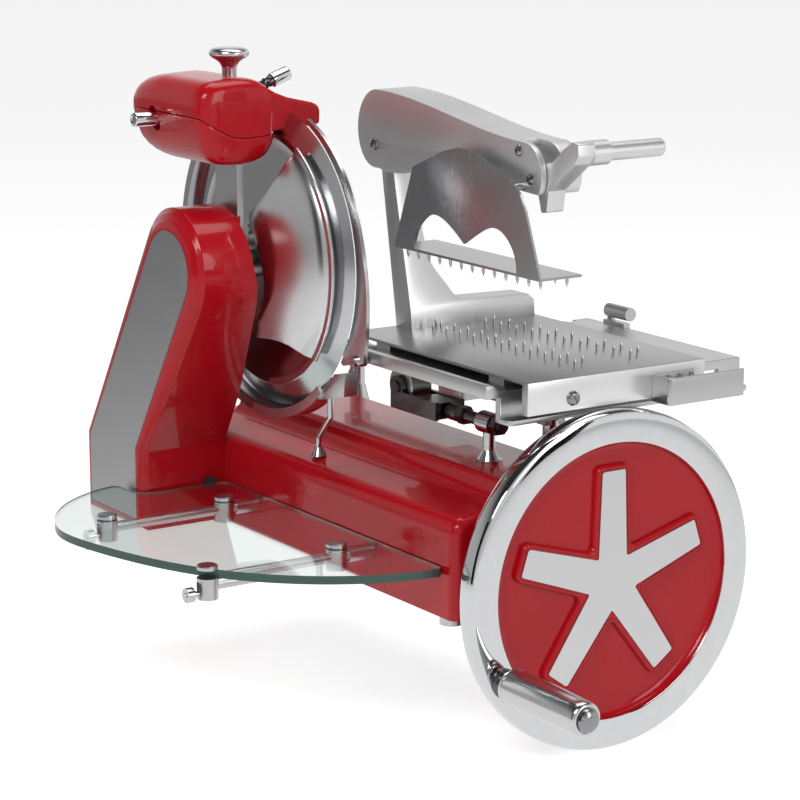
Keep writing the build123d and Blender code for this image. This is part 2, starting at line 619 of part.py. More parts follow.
with BuildPart() as tray_buttons:
    for x, y in ((ROD_LEFT, -280), (ROD_RIGHT, -289), (ROD_LEFT, -148), (ROD_RIGHT, -149)):
        bar(10, (x, y, GLASS_TOP), (x, y, GLASS_TOP + 3))
        bar(10, (x, y, GLASS_TOP + 3), (x, y, GLASS_TOP + 4), tip=9)
finish(tray_buttons, "tray_buttons")

with BuildPart() as tray_screws:
    for x, y in ((ROD_LEFT, -280), (ROD_RIGHT, -289)):
        bar(2.5, (x, y - 9.6, ROD_Z - 6), (x, y - 24, ROD_Z - 6))
        bar(7, (x, y - 16, ROD_Z - 6), (x, y - 23, ROD_Z - 6))
    add(tray_clamps.part, mode=Mode.SUBTRACT)
    add(tray_rods.part, mode=Mode.SUBTRACT)
finish(tray_screws, "tray_screws")

with BuildPart() as tray_buffer:
    block(-150, -145.5, -132, -120, GLASS_TOP + 0.2, GLASS_TOP + 6)
finish(tray_buffer, "tray_buffer")

# ---------------------------------------------------------------- carriage supports
with BuildPart() as guide_bar:
    bar(BAR_RADIUS, (-172, BAR_Y, BAR_Z), (196, BAR_Y, BAR_Z))
    chamfer(guide_bar.edges().filter_by(GeomType.CIRCLE), 1)
finish(guide_bar, "guide_bar")

with BuildPart() as guide_posts:
    for x in (-160.0, 182.0):
        bar(13, (x, BAR_Y, 105), (x, BAR_Y, 120))
        bar(13, (x, BAR_Y, 120), (x, BAR_Y, 140), tip=8)
        bar(8, (x, BAR_Y, 140), (x, BAR_Y, 166))
        block(x - 7, x + 7, BAR_Y - 12, BAR_Y + 12, 161, 183)
        bar(BAR_RADIUS, (x - 20, BAR_Y, BAR_Z), (x + 20, BAR_Y, BAR_Z), mode=Mode.SUBTRACT)
    add(base_casting.part, mode=Mode.SUBTRACT)
finish(guide_posts, "guide_posts")

PILLAR_X = 187.0
PILLAR_Y = -14.0
STUB_Z = 172.0
ROLLER_X = 54.0
ROLLER_Z = 185.0
with BuildPart() as support_pillar:
    bar(13, (PILLAR_X, PILLAR_Y, PLATEAU_Z), (PILLAR_X, PILLAR_Y, 137))
    bar(11, (PILLAR_X, PILLAR_Y, 137), (PILLAR_X, PILLAR_Y, 146), tip=6)
    bar(6, (PILLAR_X, PILLAR_Y, 146), (PILLAR_X, PILLAR_Y, 166))
    bar(10.5, (PILLAR_X - 10, PILLAR_Y, STUB_Z), (PILLAR_X + 10, PILLAR_Y, STUB_Z))
    bar(6, (PILLAR_X - 12, PILLAR_Y, STUB_Z), (PILLAR_X + 12, PILLAR_Y, STUB_Z), mode=Mode.SUBTRACT)
finish(support_pillar, "support_pillar")

with BuildPart() as roller_arm:
    bar(6, (84, PILLAR_Y, STUB_Z), (210, PILLAR_Y, STUB_Z))
    bar(8.5, (126, PILLAR_Y, STUB_Z), (142, PILLAR_Y, STUB_Z))
finish(roller_arm, "roller_arm")

with BuildPart() as arm_nuts:
    for x, length in ((142.0, 9.0), (198.0, 8.0)):
        with BuildSketch(side(x)):
            with Locations((PILLAR_Y, STUB_Z)):
                RegularPolygon(9.5, 6)
                Circle(6, mode=Mode.SUBTRACT)
        extrude(amount=length)
finish(arm_nuts, "arm_nuts")

with BuildPart() as roller_bracket:
    for y in (PILLAR_Y - 17, PILLAR_Y + 13):
        block(44, 122, y, y + 4, 163, 181)
        with Locations((ROLLER_X, y + 2, ROLLER_Z)):
            Cylinder(11, 4, rotation=(90, 0, 0))
    block(84, 122, PILLAR_Y - 13, PILLAR_Y + 13, 164, 180)
    bar(6, (30, PILLAR_Y, STUB_Z), (130, PILLAR_Y, STUB_Z), mode=Mode.SUBTRACT)
    bar(4, (ROLLER_X, PILLAR_Y - 19, ROLLER_Z), (ROLLER_X, PILLAR_Y + 19, ROLLER_Z))
    bar(6, (ROLLER_X, PILLAR_Y - 19, ROLLER_Z), (ROLLER_X, PILLAR_Y - 17, ROLLER_Z))
finish(roller_bracket, "roller_bracket")

with BuildPart() as support_roller:
    bar(20, (ROLLER_X, PILLAR_Y - 12, ROLLER_Z), (ROLLER_X, PILLAR_Y + 12, ROLLER_Z))
    chamfer(support_roller.edges().filter_by(GeomType.CIRCLE), 1)
    bar(4 + SPIN_GAP, (ROLLER_X, -60, ROLLER_Z), (ROLLER_X, 60, ROLLER_Z), mode=Mode.SUBTRACT)
finish(support_roller, "support_roller")

# ---------------------------------------------------------------- carriage
with BuildPart() as carriage_bed:
    block(BED_LEFT, BED_RIGHT, BED_FRONT + RAIL_WIDTH, BED_REAR, BED_TOP - BED_SHEET, BED_TOP)
    block(BED_RIGHT - LEG_WALL, BED_RIGHT, BED_FRONT + RAIL_WIDTH, BED_REAR, LEG_BOTTOM, BED_TOP)
    block(BED_RIGHT, FLANGE_RIGHT, BED_FRONT + RAIL_WIDTH, BED_REAR, LEG_BOTTOM, LEG_BOTTOM + 5)
    fillet(carriage_bed.edges().filter_by(Axis.Z).group_by(Axis.X)[-1], 6)
    block(BED_LEFT, BED_RIGHT - LEG_WALL - 10, -24, -4, 206, BED_TOP - BED_SHEET)
    with BuildSketch(side(BED_RIGHT - LEG_WALL)):
        with Locations((94, 206)):
            SlotOverall(228, 8)
    extrude(amount=LEG_WALL, mode=Mode.SUBTRACT)
    block(BED_LEFT, BED_LEFT + 7, 204, 214, 200, 230, mode=Mode.SUBTRACT)
finish(carriage_bed, "carriage_bed")

with BuildPart() as slide_rail:
    with BuildSketch(side(BED_LEFT)):
        with BuildLine():
            Polyline((BED_FRONT, RAIL_BOTTOM), (BED_FRONT, RAIL_TOP), (BED_FRONT + 8, RAIL_TOP),
                     (BED_FRONT + RAIL_WIDTH, BED_TOP - 1), (BED_FRONT + RAIL_WIDTH, RAIL_BOTTOM), close=True)
        make_face()
    extrude(amount=260 - BED_LEFT)
finish(slide_rail, "slide_rail")

with BuildPart() as bearing_blocks:
    for x in (20, 120):
        block(x, x + 40, BAR_Y - 20, BAR_Y + 20, 162, BED_TOP - BED_SHEET)
    fillet(bearing_blocks.edges().filter_by(Axis.X).group_by(Axis.Z)[0], 5)
    bar(BAR_RADIUS + RUN_GAP, (0, BAR_Y, BAR_Z), (200, BAR_Y, BAR_Z), mode=Mode.SUBTRACT)
finish(bearing_blocks, "bearing_blocks")

# ---------------------------------------------------------------- product table
with BuildPart() as feed_table:
    block(TABLE_LEFT, TABLE_RIGHT, TABLE_FRONT, TABLE_REAR, TABLE_TOP - TABLE_SHEET, TABLE_TOP)
    block(TABLE_RIGHT - CHEEK, TABLE_RIGHT, TABLE_FRONT, TABLE_REAR, CHEEK_BOTTOM, TABLE_TOP)
    block(TABLE_LEFT, TABLE_LEFT + 4, TABLE_FRONT, TABLE_REAR, 222, TABLE_TOP)
finish(feed_table, "feed_table")

with BuildPart() as table_runners:
    for x in (24, 214):
        block(x, x + 24, TABLE_FRONT + 8, TABLE_REAR - 10, BED_TOP + 0.2, TABLE_TOP - TABLE_SHEET)
finish(table_runners, "table_runners")

PIN_ROWS = (((30, 29), (248, 40), 11), ((22, 44), (240, 55), 11),
            ((38, 87), (240, 112), 10), ((30, 103), (232, 127), 10))
with BuildPart() as table_pins:
    for start, end, count in PIN_ROWS:
        for step in range(count):
            x = start[0] + (end[0] - start[0]) * step / (count - 1)
            y = start[1] + (end[1] - start[1]) * step / (count - 1)
            bar(1.3, (x, y, TABLE_TOP), (x, y, TABLE_TOP + 5))
            bar(1.3, (x, y, TABLE_TOP + 5), (x, y, TABLE_TOP + 8), tip=0.3)
finish(table_pins, "table_pins")

with BuildPart() as cheek_screw:
    bar(7, (TABLE_RIGHT, 9.4, 211), (TABLE_RIGHT + 4, 9.4, 211), tip=6)
    with Locations(Location((TABLE_RIGHT + 4, 9.4, 211), (35, 0, 0))):
        Box(3, 16, 1.6, mode=Mode.SUBTRACT)
finish(cheek_screw, "cheek_screw")

with BuildPart() as finger_grip:
    with BuildSketch(Plane.XY.offset(197)) as grip_plan:
        with BuildLine():
            Polyline((TABLE_RIGHT, 150), (TABLE_RIGHT + 3, 150), (TABLE_RIGHT + 3, 104),
                     (TABLE_RIGHT + 25, 104), (TABLE_RIGHT + 25, 190), (TABLE_RIGHT + 28, 190),
                     (TABLE_RIGHT + 28, 101), (TABLE_RIGHT, 101), close=True)
        make_face()
        fillet(grip_plan.vertices().sort_by_distance((TABLE_RIGHT + 28, 101))[0], 5)
        fillet(grip_plan.vertices().sort_by_distance((TABLE_RIGHT + 25, 104))[0], 2)
    extrude(amount=26)
finish(finger_grip, "finger_grip")

with BuildPart() as grip_screws:
    for y in (118, 132, 146):
        bar(2.6, (TABLE_RIGHT + 3, y, 218), (TABLE_RIGHT + 4.6, y, 218))
finish(grip_screws, "grip_screws")

with BuildPart() as feed_latch:
    block(40, 74, BED_REAR, BED_REAR + 8, 212, 222)
    bar(4, (48, BED_REAR + 4, 222), (48, BED_REAR + 4, 232))
    bar(7, (44, BED_REAR + 4, 232), (80, BED_REAR + 4, 232))
finish(feed_latch, "feed_latch")

# ---------------------------------------------------------------- column, arm and gripper
with BuildPart() as column:
    with BuildSketch(side(-50)):
        with BuildLine():
            Polyline((COLUMN_FRONT, TABLE_TOP), (COLUMN_FRONT, 402), (32, 402), (40, 310))
            Spline((40, 310), (60, 270), (80, 254), tangents=((0.05, -1), (1, -0.1)))
            Polyline((80, 254), (157, 252), (164, 246), (164, TABLE_TOP), (COLUMN_FRONT, TABLE_TOP))
        make_face()
    extrude(amount=90)
    with BuildSketch(front(COLUMN_FRONT)):
        with BuildLine():
            Polyline((-12, TABLE_TOP), (16, TABLE_TOP), (14, 250), (-17, 386), (-17, 404), (-38, 404),
                     (-38, 386), (-14, 246), close=True)
        make_face()
    extrude(amount=-170, mode=Mode.INTERSECT)
    bar(14, (PIVOT_X, COLUMN_FRONT - 8, PIVOT_Z), (PIVOT_X, 32, PIVOT_Z))
    bar(4 + SPIN_GAP, (PIVOT_X, -20, PIVOT_Z), (PIVOT_X, 60, PIVOT_Z), mode=Mode.SUBTRACT)
finish(column, "column")

# The arm is an open casting seen from below, forked round the press lever at its tip.
with BuildPart() as press_arm:
    with BuildSketch(front(ARM_FRONT)) as arm_side:
        with BuildLine():
            Spline((-22, 467), (49, 463), (131, 451), (228, 441))
            Spline((228, 441), (247, 432), (255, 412), (250, 395))
            Line((250, 395), (226, 396))
            Spline((226, 396), (140, 404), (60, 398), (37, 391))
            Spline((37, 391), (10, 388), (-16, 390))
            Spline((-16, 390), (-42, 399), (-52, 422), (-46, 450), (-22, 467))
        make_face()
    extrude(amount=ARM_FRONT - ARM_REAR)
    block(-60, 30, 0, 34, 370, 458, mode=Mode.SUBTRACT)
    with BuildSketch(front(0)):
        with BuildLine():
            Polyline((29, 457), (49, 456), (131, 444), (222, 434), (222, 380), (29, 380), close=True)
        make_face()
    extrude(amount=-34, mode=Mode.SUBTRACT)
    block(212, 262, 0, 20.5, 380, 450, mode=Mode.SUBTRACT)
    bar(4, (PIVOT_X, -20, PIVOT_Z), (PIVOT_X, 60, PIVOT_Z), mode=Mode.SUBTRACT)
    bar(4, (LEVER_X, -20, LEVER_Z), (LEVER_X, 60, LEVER_Z), mode=Mode.SUBTRACT)
finish(press_arm, "press_arm")

with BuildPart() as arm_pins:
    bar(4, (PIVOT_X, ARM_FRONT - 1, PIVOT_Z), (PIVOT_X, ARM_REAR + 1, PIVOT_Z))
    bar(5.5, (PIVOT_X, ARM_FRONT - 3, PIVOT_Z), (PIVOT_X, ARM_FRONT, PIVOT_Z))
    bar(5.5, (PIVOT_X, ARM_REAR, PIVOT_Z), (PIVOT_X, ARM_REAR + 3, PIVOT_Z))
    bar(4, (LEVER_X, ARM_FRONT - 1, LEVER_Z), (LEVER_X, ARM_REAR, LEVER_Z))
    bar(5, (LEVER_X, ARM_FRONT - 2.5, LEVER_Z), (LEVER_X, ARM_FRONT, LEVER_Z))
    bar(5, (220, ARM_FRONT - 2.5, 433), (220, ARM_FRONT, 433))
finish(arm_pins, "arm_pins")

with BuildPart() as press_lever:
    with BuildSketch(front(0.5)) as lever_side:
        with BuildLine():
            Polyline((230, 404), (234, 418), (250, 424), (262, 426), (279, 440), (292, 448), (300, 446),
                     (301, 435), (295, 427), (268, 407), (257, 399), (254, 379), (246, 378),
                     (240, 398), close=True)
        make_face()
        fillet(lever_side.vertices(), 2)
    extrude(amount=-19.5)
    bar(4 + SPIN_GAP, (LEVER_X, -20, LEVER_Z), (LEVER_X, 60, LEVER_Z), mode=Mode.SUBTRACT)
finish(press_lever, "press_lever")

with BuildPart() as lever_handle:
    bar(11.5, (289, 20, 436), (289, 40, 436))
    bar(8.5, (289, 40, 436), (289, 104, 436))
    fillet(lever_handle.edges().filter_by(GeomType.CIRCLE).group_by(Axis.Y)[-1], 2)
finish(lever_handle, "lever_handle")

with BuildPart() as gripper:
    with BuildSketch(front(GRIPPER_Y)):
        with BuildLine():
            Polyline((38, GRIPPER_Z), (69, 402), (88, 410), (118, 422), (144, 428.5), (162, 428.5),
                     (226, 408), (243, 397), (252, 382), (275, GRIPPER_Z))
            Line((275, GRIPPER_Z), (239, GRIPPER_Z))
            Spline((239, GRIPPER_Z), (232, 345), (209, 360), (178, 352), (155, 339))
            Spline((155, 339), (134, 352), (103, 360), (80, 345), (72, GRIPPER_Z))
            Line((72, GRIPPER_Z), (38, GRIPPER_Z))
        make_face()
    extrude(amount=-GRIPPER_SHEET)
    block(38, 275, GRIPPER_Y, GRIPPER_REAR, GRIPPER_Z - GRIPPER_SHEET, GRIPPER_Z)
    for x, z in ((150.0, 418.0), (226.0, 401.0)):
        bar(4, (x, GRIPPER_Y + GRIPPER_SHEET, z), (x, ARM_FRONT, z))
finish(gripper, "gripper")

with BuildPart() as gripper_spikes:
    for x in range(50, 270, 18):
        for y in (-14, 16):
            bar(1.6, (x, y, GRIPPER_Z - GRIPPER_SHEET), (x, y, GRIPPER_Z - 8))
            bar(1.6, (x, y, GRIPPER_Z - 8), (x, y, GRIPPER_Z - 12), tip=0.3)
finish(gripper_spikes, "gripper_spikes")
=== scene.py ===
# %% [markdown]
# # A hand cranked meat slicer
# The machine is a red casting on four feet. A big flywheel turns a round blade on a leaning tower,
# and a carriage carries the meat past the blade. The CAD frame holds every rigid part at its true
# size, so this lesson gives each part its finish and models the pieces whose shape needs more.

# %% Load the frame
import math

import bmesh
import bpy
from mathutils import Matrix, Vector


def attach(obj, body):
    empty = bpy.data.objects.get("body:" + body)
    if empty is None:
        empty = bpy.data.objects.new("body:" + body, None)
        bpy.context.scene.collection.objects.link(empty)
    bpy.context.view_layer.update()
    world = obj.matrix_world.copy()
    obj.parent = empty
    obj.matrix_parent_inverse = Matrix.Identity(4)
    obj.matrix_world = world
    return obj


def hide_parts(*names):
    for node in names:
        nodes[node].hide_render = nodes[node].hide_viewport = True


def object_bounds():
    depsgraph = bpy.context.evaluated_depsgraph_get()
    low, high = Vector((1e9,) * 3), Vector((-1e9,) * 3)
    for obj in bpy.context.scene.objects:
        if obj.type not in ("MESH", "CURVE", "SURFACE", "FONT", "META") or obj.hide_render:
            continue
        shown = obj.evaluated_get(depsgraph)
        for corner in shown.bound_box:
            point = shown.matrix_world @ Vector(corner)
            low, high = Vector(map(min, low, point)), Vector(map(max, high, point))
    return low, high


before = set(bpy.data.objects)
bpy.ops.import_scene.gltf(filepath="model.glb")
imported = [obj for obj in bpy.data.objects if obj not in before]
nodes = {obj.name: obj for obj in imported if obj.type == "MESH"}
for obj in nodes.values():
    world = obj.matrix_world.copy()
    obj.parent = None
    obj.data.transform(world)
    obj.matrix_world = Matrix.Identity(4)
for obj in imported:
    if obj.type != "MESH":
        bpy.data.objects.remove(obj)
cad_box = [list(corner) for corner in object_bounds()]
MM = 0.001
print("frame has", len(nodes), "parts, box", cad_box)

# %% [markdown]
# ## The camera
# The photograph is taken from the right front and a little above, with a long lens, so the machine
# shows hardly any convergence. A lens could be guessed by eye and the camera pushed about until the
# picture fits. Here its place, turn and lens were worked out from the machine's straight edges, so
# the render can be laid over the photograph.

# %% Camera
TURNED = 56.334
DIPPED = 12.487
scene = bpy.context.scene
camera_data = bpy.data.cameras.new("camera")
camera_data.sensor_width = 36
camera_data.lens = 128.25
camera = bpy.data.objects.new("camera", camera_data)
camera.location = (2.3198, -1.5356, 0.7739)
camera.rotation_euler = (math.radians(90 - DIPPED), 0, math.radians(TURNED))
scene.collection.objects.link(camera)
scene.camera = camera
scene.view_settings.view_transform = "Standard"
print("camera at", tuple(camera.location))

# %% [markdown]
# ## Building materials with Python sums
# A node tree can be wired by hand in the shader editor, but it is easier to read as a formula. A
# Wire wraps one output socket, and adding or multiplying two wires adds the Math node that does it.
# A Recipe makes any other node from its type, its settings and what goes into its sockets.

# %% Wires
class Wire:
    """An output socket that can stand in a Python sum."""

    def __init__(self, recipe, socket):
        self.recipe, self.socket = recipe, socket

    def maths(self, operation, first, second):
        return self.recipe.node("ShaderNodeMath", {"operation": operation}, {0: first, 1: second})

    def __add__(self, other): return self.maths("ADD", self, other)
    def __radd__(self, other): return self.maths("ADD", other, self)
    def __sub__(self, other): return self.maths("SUBTRACT", self, other)
    def __rsub__(self, other): return self.maths("SUBTRACT", other, self)
    def __mul__(self, other): return self.maths("MULTIPLY", self, other)
    def __rmul__(self, other): return self.maths("MULTIPLY", other, self)
    def __gt__(self, other): return self.maths("GREATER_THAN", self, other)


print("wires can add, subtract, multiply and compare")

# %% Recipes
class Recipe:
    """A node tree while it is being mixed: a new material's, or one that is handed in."""

    def __init__(self, name, tree=None):
        if tree is None:
            self.material = bpy.data.materials.new(name)
            self.material.use_nodes = True
            tree = self.material.node_tree
        self.tree = tree
        self.shader = tree.nodes.get("Principled BSDF")

    def node(self, kind, settings=None, inputs=None, out=0):
        made = self.tree.nodes.new(kind)
        for key, value in (settings or {}).items():
            setattr(made, key, value)
        for key, value in (inputs or {}).items():
            self.feed(made.inputs[key], value)
        return Wire(self, made.outputs[out])

    def feed(self, socket, value):
        if isinstance(value, Wire):
            self.tree.links.new(value.socket, socket)
        else:
            socket.default_value = value

    def set(self, **sockets):
        """Fills the shader's own sockets."""
        for key, value in sockets.items():
            self.feed(self.shader.inputs[key.replace("_", " ")], value)

    def place(self, kind="Object"):
        """Where the shaded point lies on the piece, in metres, or where it faces."""
        return self.node("ShaderNodeTexCoord", out=kind)

    def axis(self, letter, kind="Object"):
        return self.node("ShaderNodeSeparateXYZ", None, {0: self.place(kind)}, out=letter)

    def stretched(self, scale):
        """Object coordinates drawn out, so that noise on them becomes streaks."""
        return self.node("ShaderNodeMapping", None, {0: self.place(), "Scale": scale})

    def noise(self, size, detail, where=None):
        """Soft noise from 0 to 1 whose blobs are about size metres across."""
        return self.node("ShaderNodeTexNoise", None,
                         {"Vector": where or self.place(), "Scale": 1 / size, "Detail": detail})

    def blend(self, amount, first, second):
        return self.node("ShaderNodeMix", {"data_type": "RGBA"},
                         {0: amount, 6: first, 7: second}, out=2)

    def fading(self, value, low, high, before, after):
        """Goes smoothly from before to after while value goes from low to high."""
        return self.node("ShaderNodeMapRange", {"interpolation_type": "SMOOTHSTEP"},
                         {"Value": value, "From Min": low, "From Max": high,
                          "To Min": before, "To Max": after}, out="Result")

    def bump(self, height, depth):
        """Lifts the surface by depth metres where height is 1."""
        self.set(Normal=self.node("ShaderNodeBump", None,
                                  {"Height": height, "Distance": depth, "Strength": 1.0}))

    def choose(self, amount, first, second):
        """Shows the first shader where amount is 0 and the second where it is 1."""
        mixed = self.node("ShaderNodeMixShader", None, {0: amount, 1: first, 2: second})
        self.feed(self.tree.nodes["Material Output"].inputs["Surface"], mixed)

    def own_shader(self):
        return Wire(self, self.shader.outputs[0])


print("recipes ready")

# %% [markdown]
# ## The red enamel
# The castings are sprayed with a thick gloss enamel over a ground casting. It is a deep cherry red
# under a clear coat, very smooth, with a faint orange peel that only shows in its highlights. One
# glossy layer would turn pale wherever the room is bright, so the colour sits in a dull layer and
# the gloss comes from a thin coat above it.

# %% Red enamel
DEEP_RED = (0.42, 0.0038, 0.0095, 1)
CHERRY_RED = (0.52, 0.0055, 0.0135, 1)
ORANGE_PEEL = 0.000012


def make_enamel():
    paint = Recipe("red_enamel")
    paint.set(Base_Color=paint.blend(paint.noise(0.06, 3.0), DEEP_RED, CHERRY_RED))
    paint.set(Roughness=0.22 + 0.08 * paint.noise(0.02, 4.0))
    paint.set(Coat_Weight=0.55, Coat_Roughness=0.02, Coat_IOR=1.42, Specular_IOR_Level=0.15)
    paint.bump(paint.noise(0.0045, 1.0), ORANGE_PEEL)
    return paint.material


enamel = make_enamel()
print("made", enamel.name)

# %% [markdown]
# ## The metals
# The machine mixes chrome that is nearly a mirror, polished steel, steel brushed in one direction,
# and satin castings with a fine grain. Each could be its own node tree. They share one formula
# here, because only the tone, the roughness and the direction and size of the marks change: noise
# is drawn out along the brushing, and the same streaks shade, roughen and emboss the surface.
# Two tones are painted light: faces towards +X may take a lighter grey, and the arm and levers take
# a lighter copy of the satin casting where they catch the key lamp.

# %% One formula for metal
EVEN = (1, 1, 1)
ALONG_X, ALONG_Y, ALONG_Z = (0.03, 1, 1), (1, 0.03, 1), (1, 1, 0.03)


def grey(tone, blue=0.0):
    """A grey whose blue may stand a little higher."""
    return (tone, tone, tone + blue)


def make_metal(name, tone, rough, marks, mark_size, depth, spread=0.08, painted_light_face=None):
    metal = Recipe(name)
    streak = metal.noise(mark_size, 3.0, metal.stretched(marks))
    cloud = metal.noise(0.05, 3.0)
    dark = [0.84 * part for part in tone]
    shade = metal.blend(streak * 0.6 + cloud * 0.4, (*dark, 1), (*tone, 1))
    # Faces turned towards +X may take a lighter grey: painted light on the side that the lamps
    # light.
    if painted_light_face:
        shade = metal.blend(metal.axis("X", "Normal") > 0.6, shade, (*grey(painted_light_face), 1))
    metal.set(Metallic=1.0, Base_Color=shade)
    metal.set(Roughness=rough + spread * (streak - 0.5) + spread * (cloud - 0.5))
    metal.bump(streak, depth)
    return metal.material


print("metal formula ready")

# %% The machine's metals
chrome = make_metal("chrome", (0.74, 0.745, 0.76), 0.05, EVEN, 0.01, 5e-7, 0.02)
satin_chrome = make_metal("satin_chrome", grey(0.70, 0.01), 0.22, EVEN, 0.0012, 2e-6, 0.04)
polished = make_metal("polished_steel", grey(0.62, 0.01), 0.16, EVEN, 0.004, 1e-6, 0.05)
dome_steel = make_metal("spun_steel", grey(0.74, 0.01), 0.22, EVEN, 0.02, 5e-7, 0.03)
brushed_x = make_metal("brushed_along_x", grey(0.62, 0.01), 0.30, ALONG_X, 0.0007, 4e-6)
brushed_y = make_metal("brushed_along_y", grey(0.62, 0.01), 0.30, ALONG_Y, 0.0007, 4e-6)
brushed_z = make_metal("brushed_along_z", grey(0.62, 0.01), 0.30, ALONG_Z, 0.0007, 4e-6)
plaque_steel = make_metal("plaque_steel", grey(0.46, 0.01), 0.36, ALONG_Z, 0.0006, 3e-6)
screw_steel = make_metal("screw_steel", grey(0.36, 0.01), 0.2, EVEN, 0.002, 1e-6, 0.04)
# The table's faces towards +X get a lighter grey: painted light.
table_steel = make_metal("table_steel", grey(0.48, 0.005), 0.30, ALONG_X, 0.0007, 4e-6,
                         painted_light_face=0.86)
gripper_steel = make_metal("gripper_steel", grey(0.50, 0.01), 0.26, ALONG_Z, 0.0007, 3e-6)
# A lighter, rougher copy of the satin casting for the arm, handle and lever; its lighter tone is
# painted light where they catch the key lamp.
painted_lit_casting = make_metal("painted_lit_casting", grey(0.82), 0.44, EVEN, 0.0012, 1e-5, 0.06)
casting = make_metal("satin_casting", grey(0.66), 0.32, EVEN, 0.0012, 1.2e-5)
dark_steel = make_metal("dark_steel", (0.16, 0.155, 0.155), 0.28, EVEN, 0.001, 1e-5)
print("metals made")

# %% [markdown]
# ## Rubber, stone and glass
# Rubber and stone are one tone with a grain. The tray is plate glass: clear through its faces and
# deep green along its ground edge, because light runs a long way inside the sheet before it leaves
# there. A renderer could trace that light, slowly and with noise. Instead the edge is told by its
# normal, and it gets a dark gloss of its own.

# %% Rubber and stone
def make_plain(name, tone, rough, size, depth):
    plain = Recipe(name)
    grain = plain.noise(size, 4.0)
    dark = [0.7 * part for part in tone]
    plain.set(Base_Color=plain.blend(grain, (*dark, 1), (*tone, 1)),
              Roughness=rough + 0.1 * (grain - 0.5))
    plain.bump(grain, depth)
    return plain.material


rubber = make_plain("black_rubber", grey(0.02), 0.7, 0.001, 0.00005)
stone = make_plain("grindstone", (0.42, 0.36, 0.32), 0.9, 0.0008, 0.0001)
print("made", rubber.name, "and", stone.name)

# %% Glass with a ground edge
CLEAR_TINT = (0.90, 0.97, 0.95, 1)
EDGE_GREEN = (0.045, 0.095, 0.08, 1)


def make_glass():
    pane = Recipe("clear_glass")
    upright = pane.axis("Z", "Normal")
    flat = pane.node("ShaderNodeMath", {"operation": "ABSOLUTE"}, {0: upright}) > 0.5
    pane.set(Base_Color=pane.blend(flat, EDGE_GREEN, CLEAR_TINT),
             Roughness=0.0, IOR=1.45, Transmission_Weight=1.0)
    edge = pane.node("ShaderNodeBsdfPrincipled", None,
                     {"Base Color": EDGE_GREEN, "Roughness": 0.12})
    pane.choose(flat, edge, pane.own_shader())
    return pane.material


glass = make_glass()
print("made", glass.name)

# %% [markdown]
# ## Dressing the CAD parts
# Most rigid parts are already the right shape in the frame, so each only takes its finish. A table
# of finishes with the parts' names is shorter than a line for each part, and shows at a glance what
# is made of what.

# %% Finishes for the CAD parts
FINISHES = {
    enamel: "base_casting tower_housing sharpener_cap sharpener_body flywheel_disc wheel_relief",
    chrome: "flywheel_rim sharpener_knob sharpening_pin deburring_pin",
    polished: "blade blade_shaft guard_stay gauge_stud tray_screws crank_pin main_shaft guide_bar"
              " table_pins cheek_screw grip_screws arm_pins gripper_spikes guide_posts"
              " support_pillar",
    dome_steel: "blade_cover blade_guard gauge_plate",
    gripper_steel: "gripper",
    table_steel: "feed_table",
    brushed_x: "base_cover",
    brushed_y: "finger_grip crank_grip",
    # The arm, handle and lever take the lighter copy of the casting: painted light.
    painted_lit_casting: "lever_handle press_arm press_lever",
    brushed_z: "tray_rods tray_clamps tray_buttons blade_hub support_roller",
    plaque_steel: "tower_plaque",
    casting: "base_feet guard_bracket sharpener_support carriage_bed slide_rail bearing_blocks"
             " table_runners column feed_latch",
    dark_steel: "crank_collar shaft_bearing roller_arm arm_nuts roller_bracket",
    rubber: "tray_buffer",
    stone: "sharpening_stone deburring_stone",
    glass: "glass_tray",
}
for material, names in FINISHES.items():
    for name in names.split():
        nodes[name].data.materials.clear()
        nodes[name].data.materials.append(material)
print("dressed", sum(len(names.split()) for names in FINISHES.values()), "parts")

# %% [markdown]
# ## Two ways of starting a piece
# Nearly every new piece is either turned or cut from an outline. A turned piece could be spun from
# an edge, but spinning needs its seam closed. It starts as a filled circle instead, which is
# extruded and scaled step by step, as a lathe follows a profile. A cut piece starts as a circle
# whose corners are moved onto the outline, and is then pulled to its thickness.

# %% Starting and finishing a piece
def object_mode():
    if bpy.context.object and bpy.context.object.mode != "OBJECT":
        bpy.ops.object.mode_set(mode="OBJECT")


def pick(piece, *others):
    """Selects these pieces alone, and makes the first one active."""
    object_mode()
    bpy.ops.object.select_all(action="DESELECT")
    for one in (piece, *others):
        one.select_set(True)
    bpy.context.view_layer.objects.active = piece


def start(name, kind, **options):
    """A new primitive, alone and selected, in edit mode."""
    object_mode()
    bpy.ops.object.select_all(action="DESELECT")
    getattr(bpy.ops.mesh, "primitive_" + kind + "_add")(**options)
    piece = bpy.context.object
    piece.name = piece.data.name = name
    bpy.ops.object.mode_set(mode="EDIT")
    return piece


def pick_inside(piece, kind, wanted):
    """In edit mode, selects only the verts or faces for which wanted is true."""
    bpy.ops.mesh.select_all(action="DESELECT")
    cage = bmesh.from_edit_mesh(piece.data)
    for item in getattr(cage, kind):
        if wanted(item):
            item.select_set(True)
    cage.select_flush(True)


def close_up(piece, finish, angle=35):
    """Ends edit mode with outward faces, smooth shading and a finish."""
    bpy.ops.object.mode_set(mode="EDIT")
    bpy.ops.mesh.select_all(action="SELECT")
    bpy.ops.mesh.remove_doubles(threshold=0.000001)
    bpy.ops.mesh.normals_make_consistent(inside=False)
    bpy.ops.object.mode_set(mode="OBJECT")
    bpy.ops.object.shade_smooth_by_angle(angle=math.radians(angle))
    if not piece.data.materials:
        piece.data.materials.append(finish)
    return piece


def put(piece, origin, along, angle=0.0):
    """Stands a piece that was made upright at the origin on its place, along its own axis."""
    turn = Vector((0, 0, 1)).rotation_difference(Vector(along)).to_matrix().to_4x4()
    piece.data.transform(Matrix.Translation(Vector(origin) * MM) @ turn
                         @ Matrix.Rotation(math.radians(angle), 4, "Z"))


print("a piece can be started, closed and put in its place")

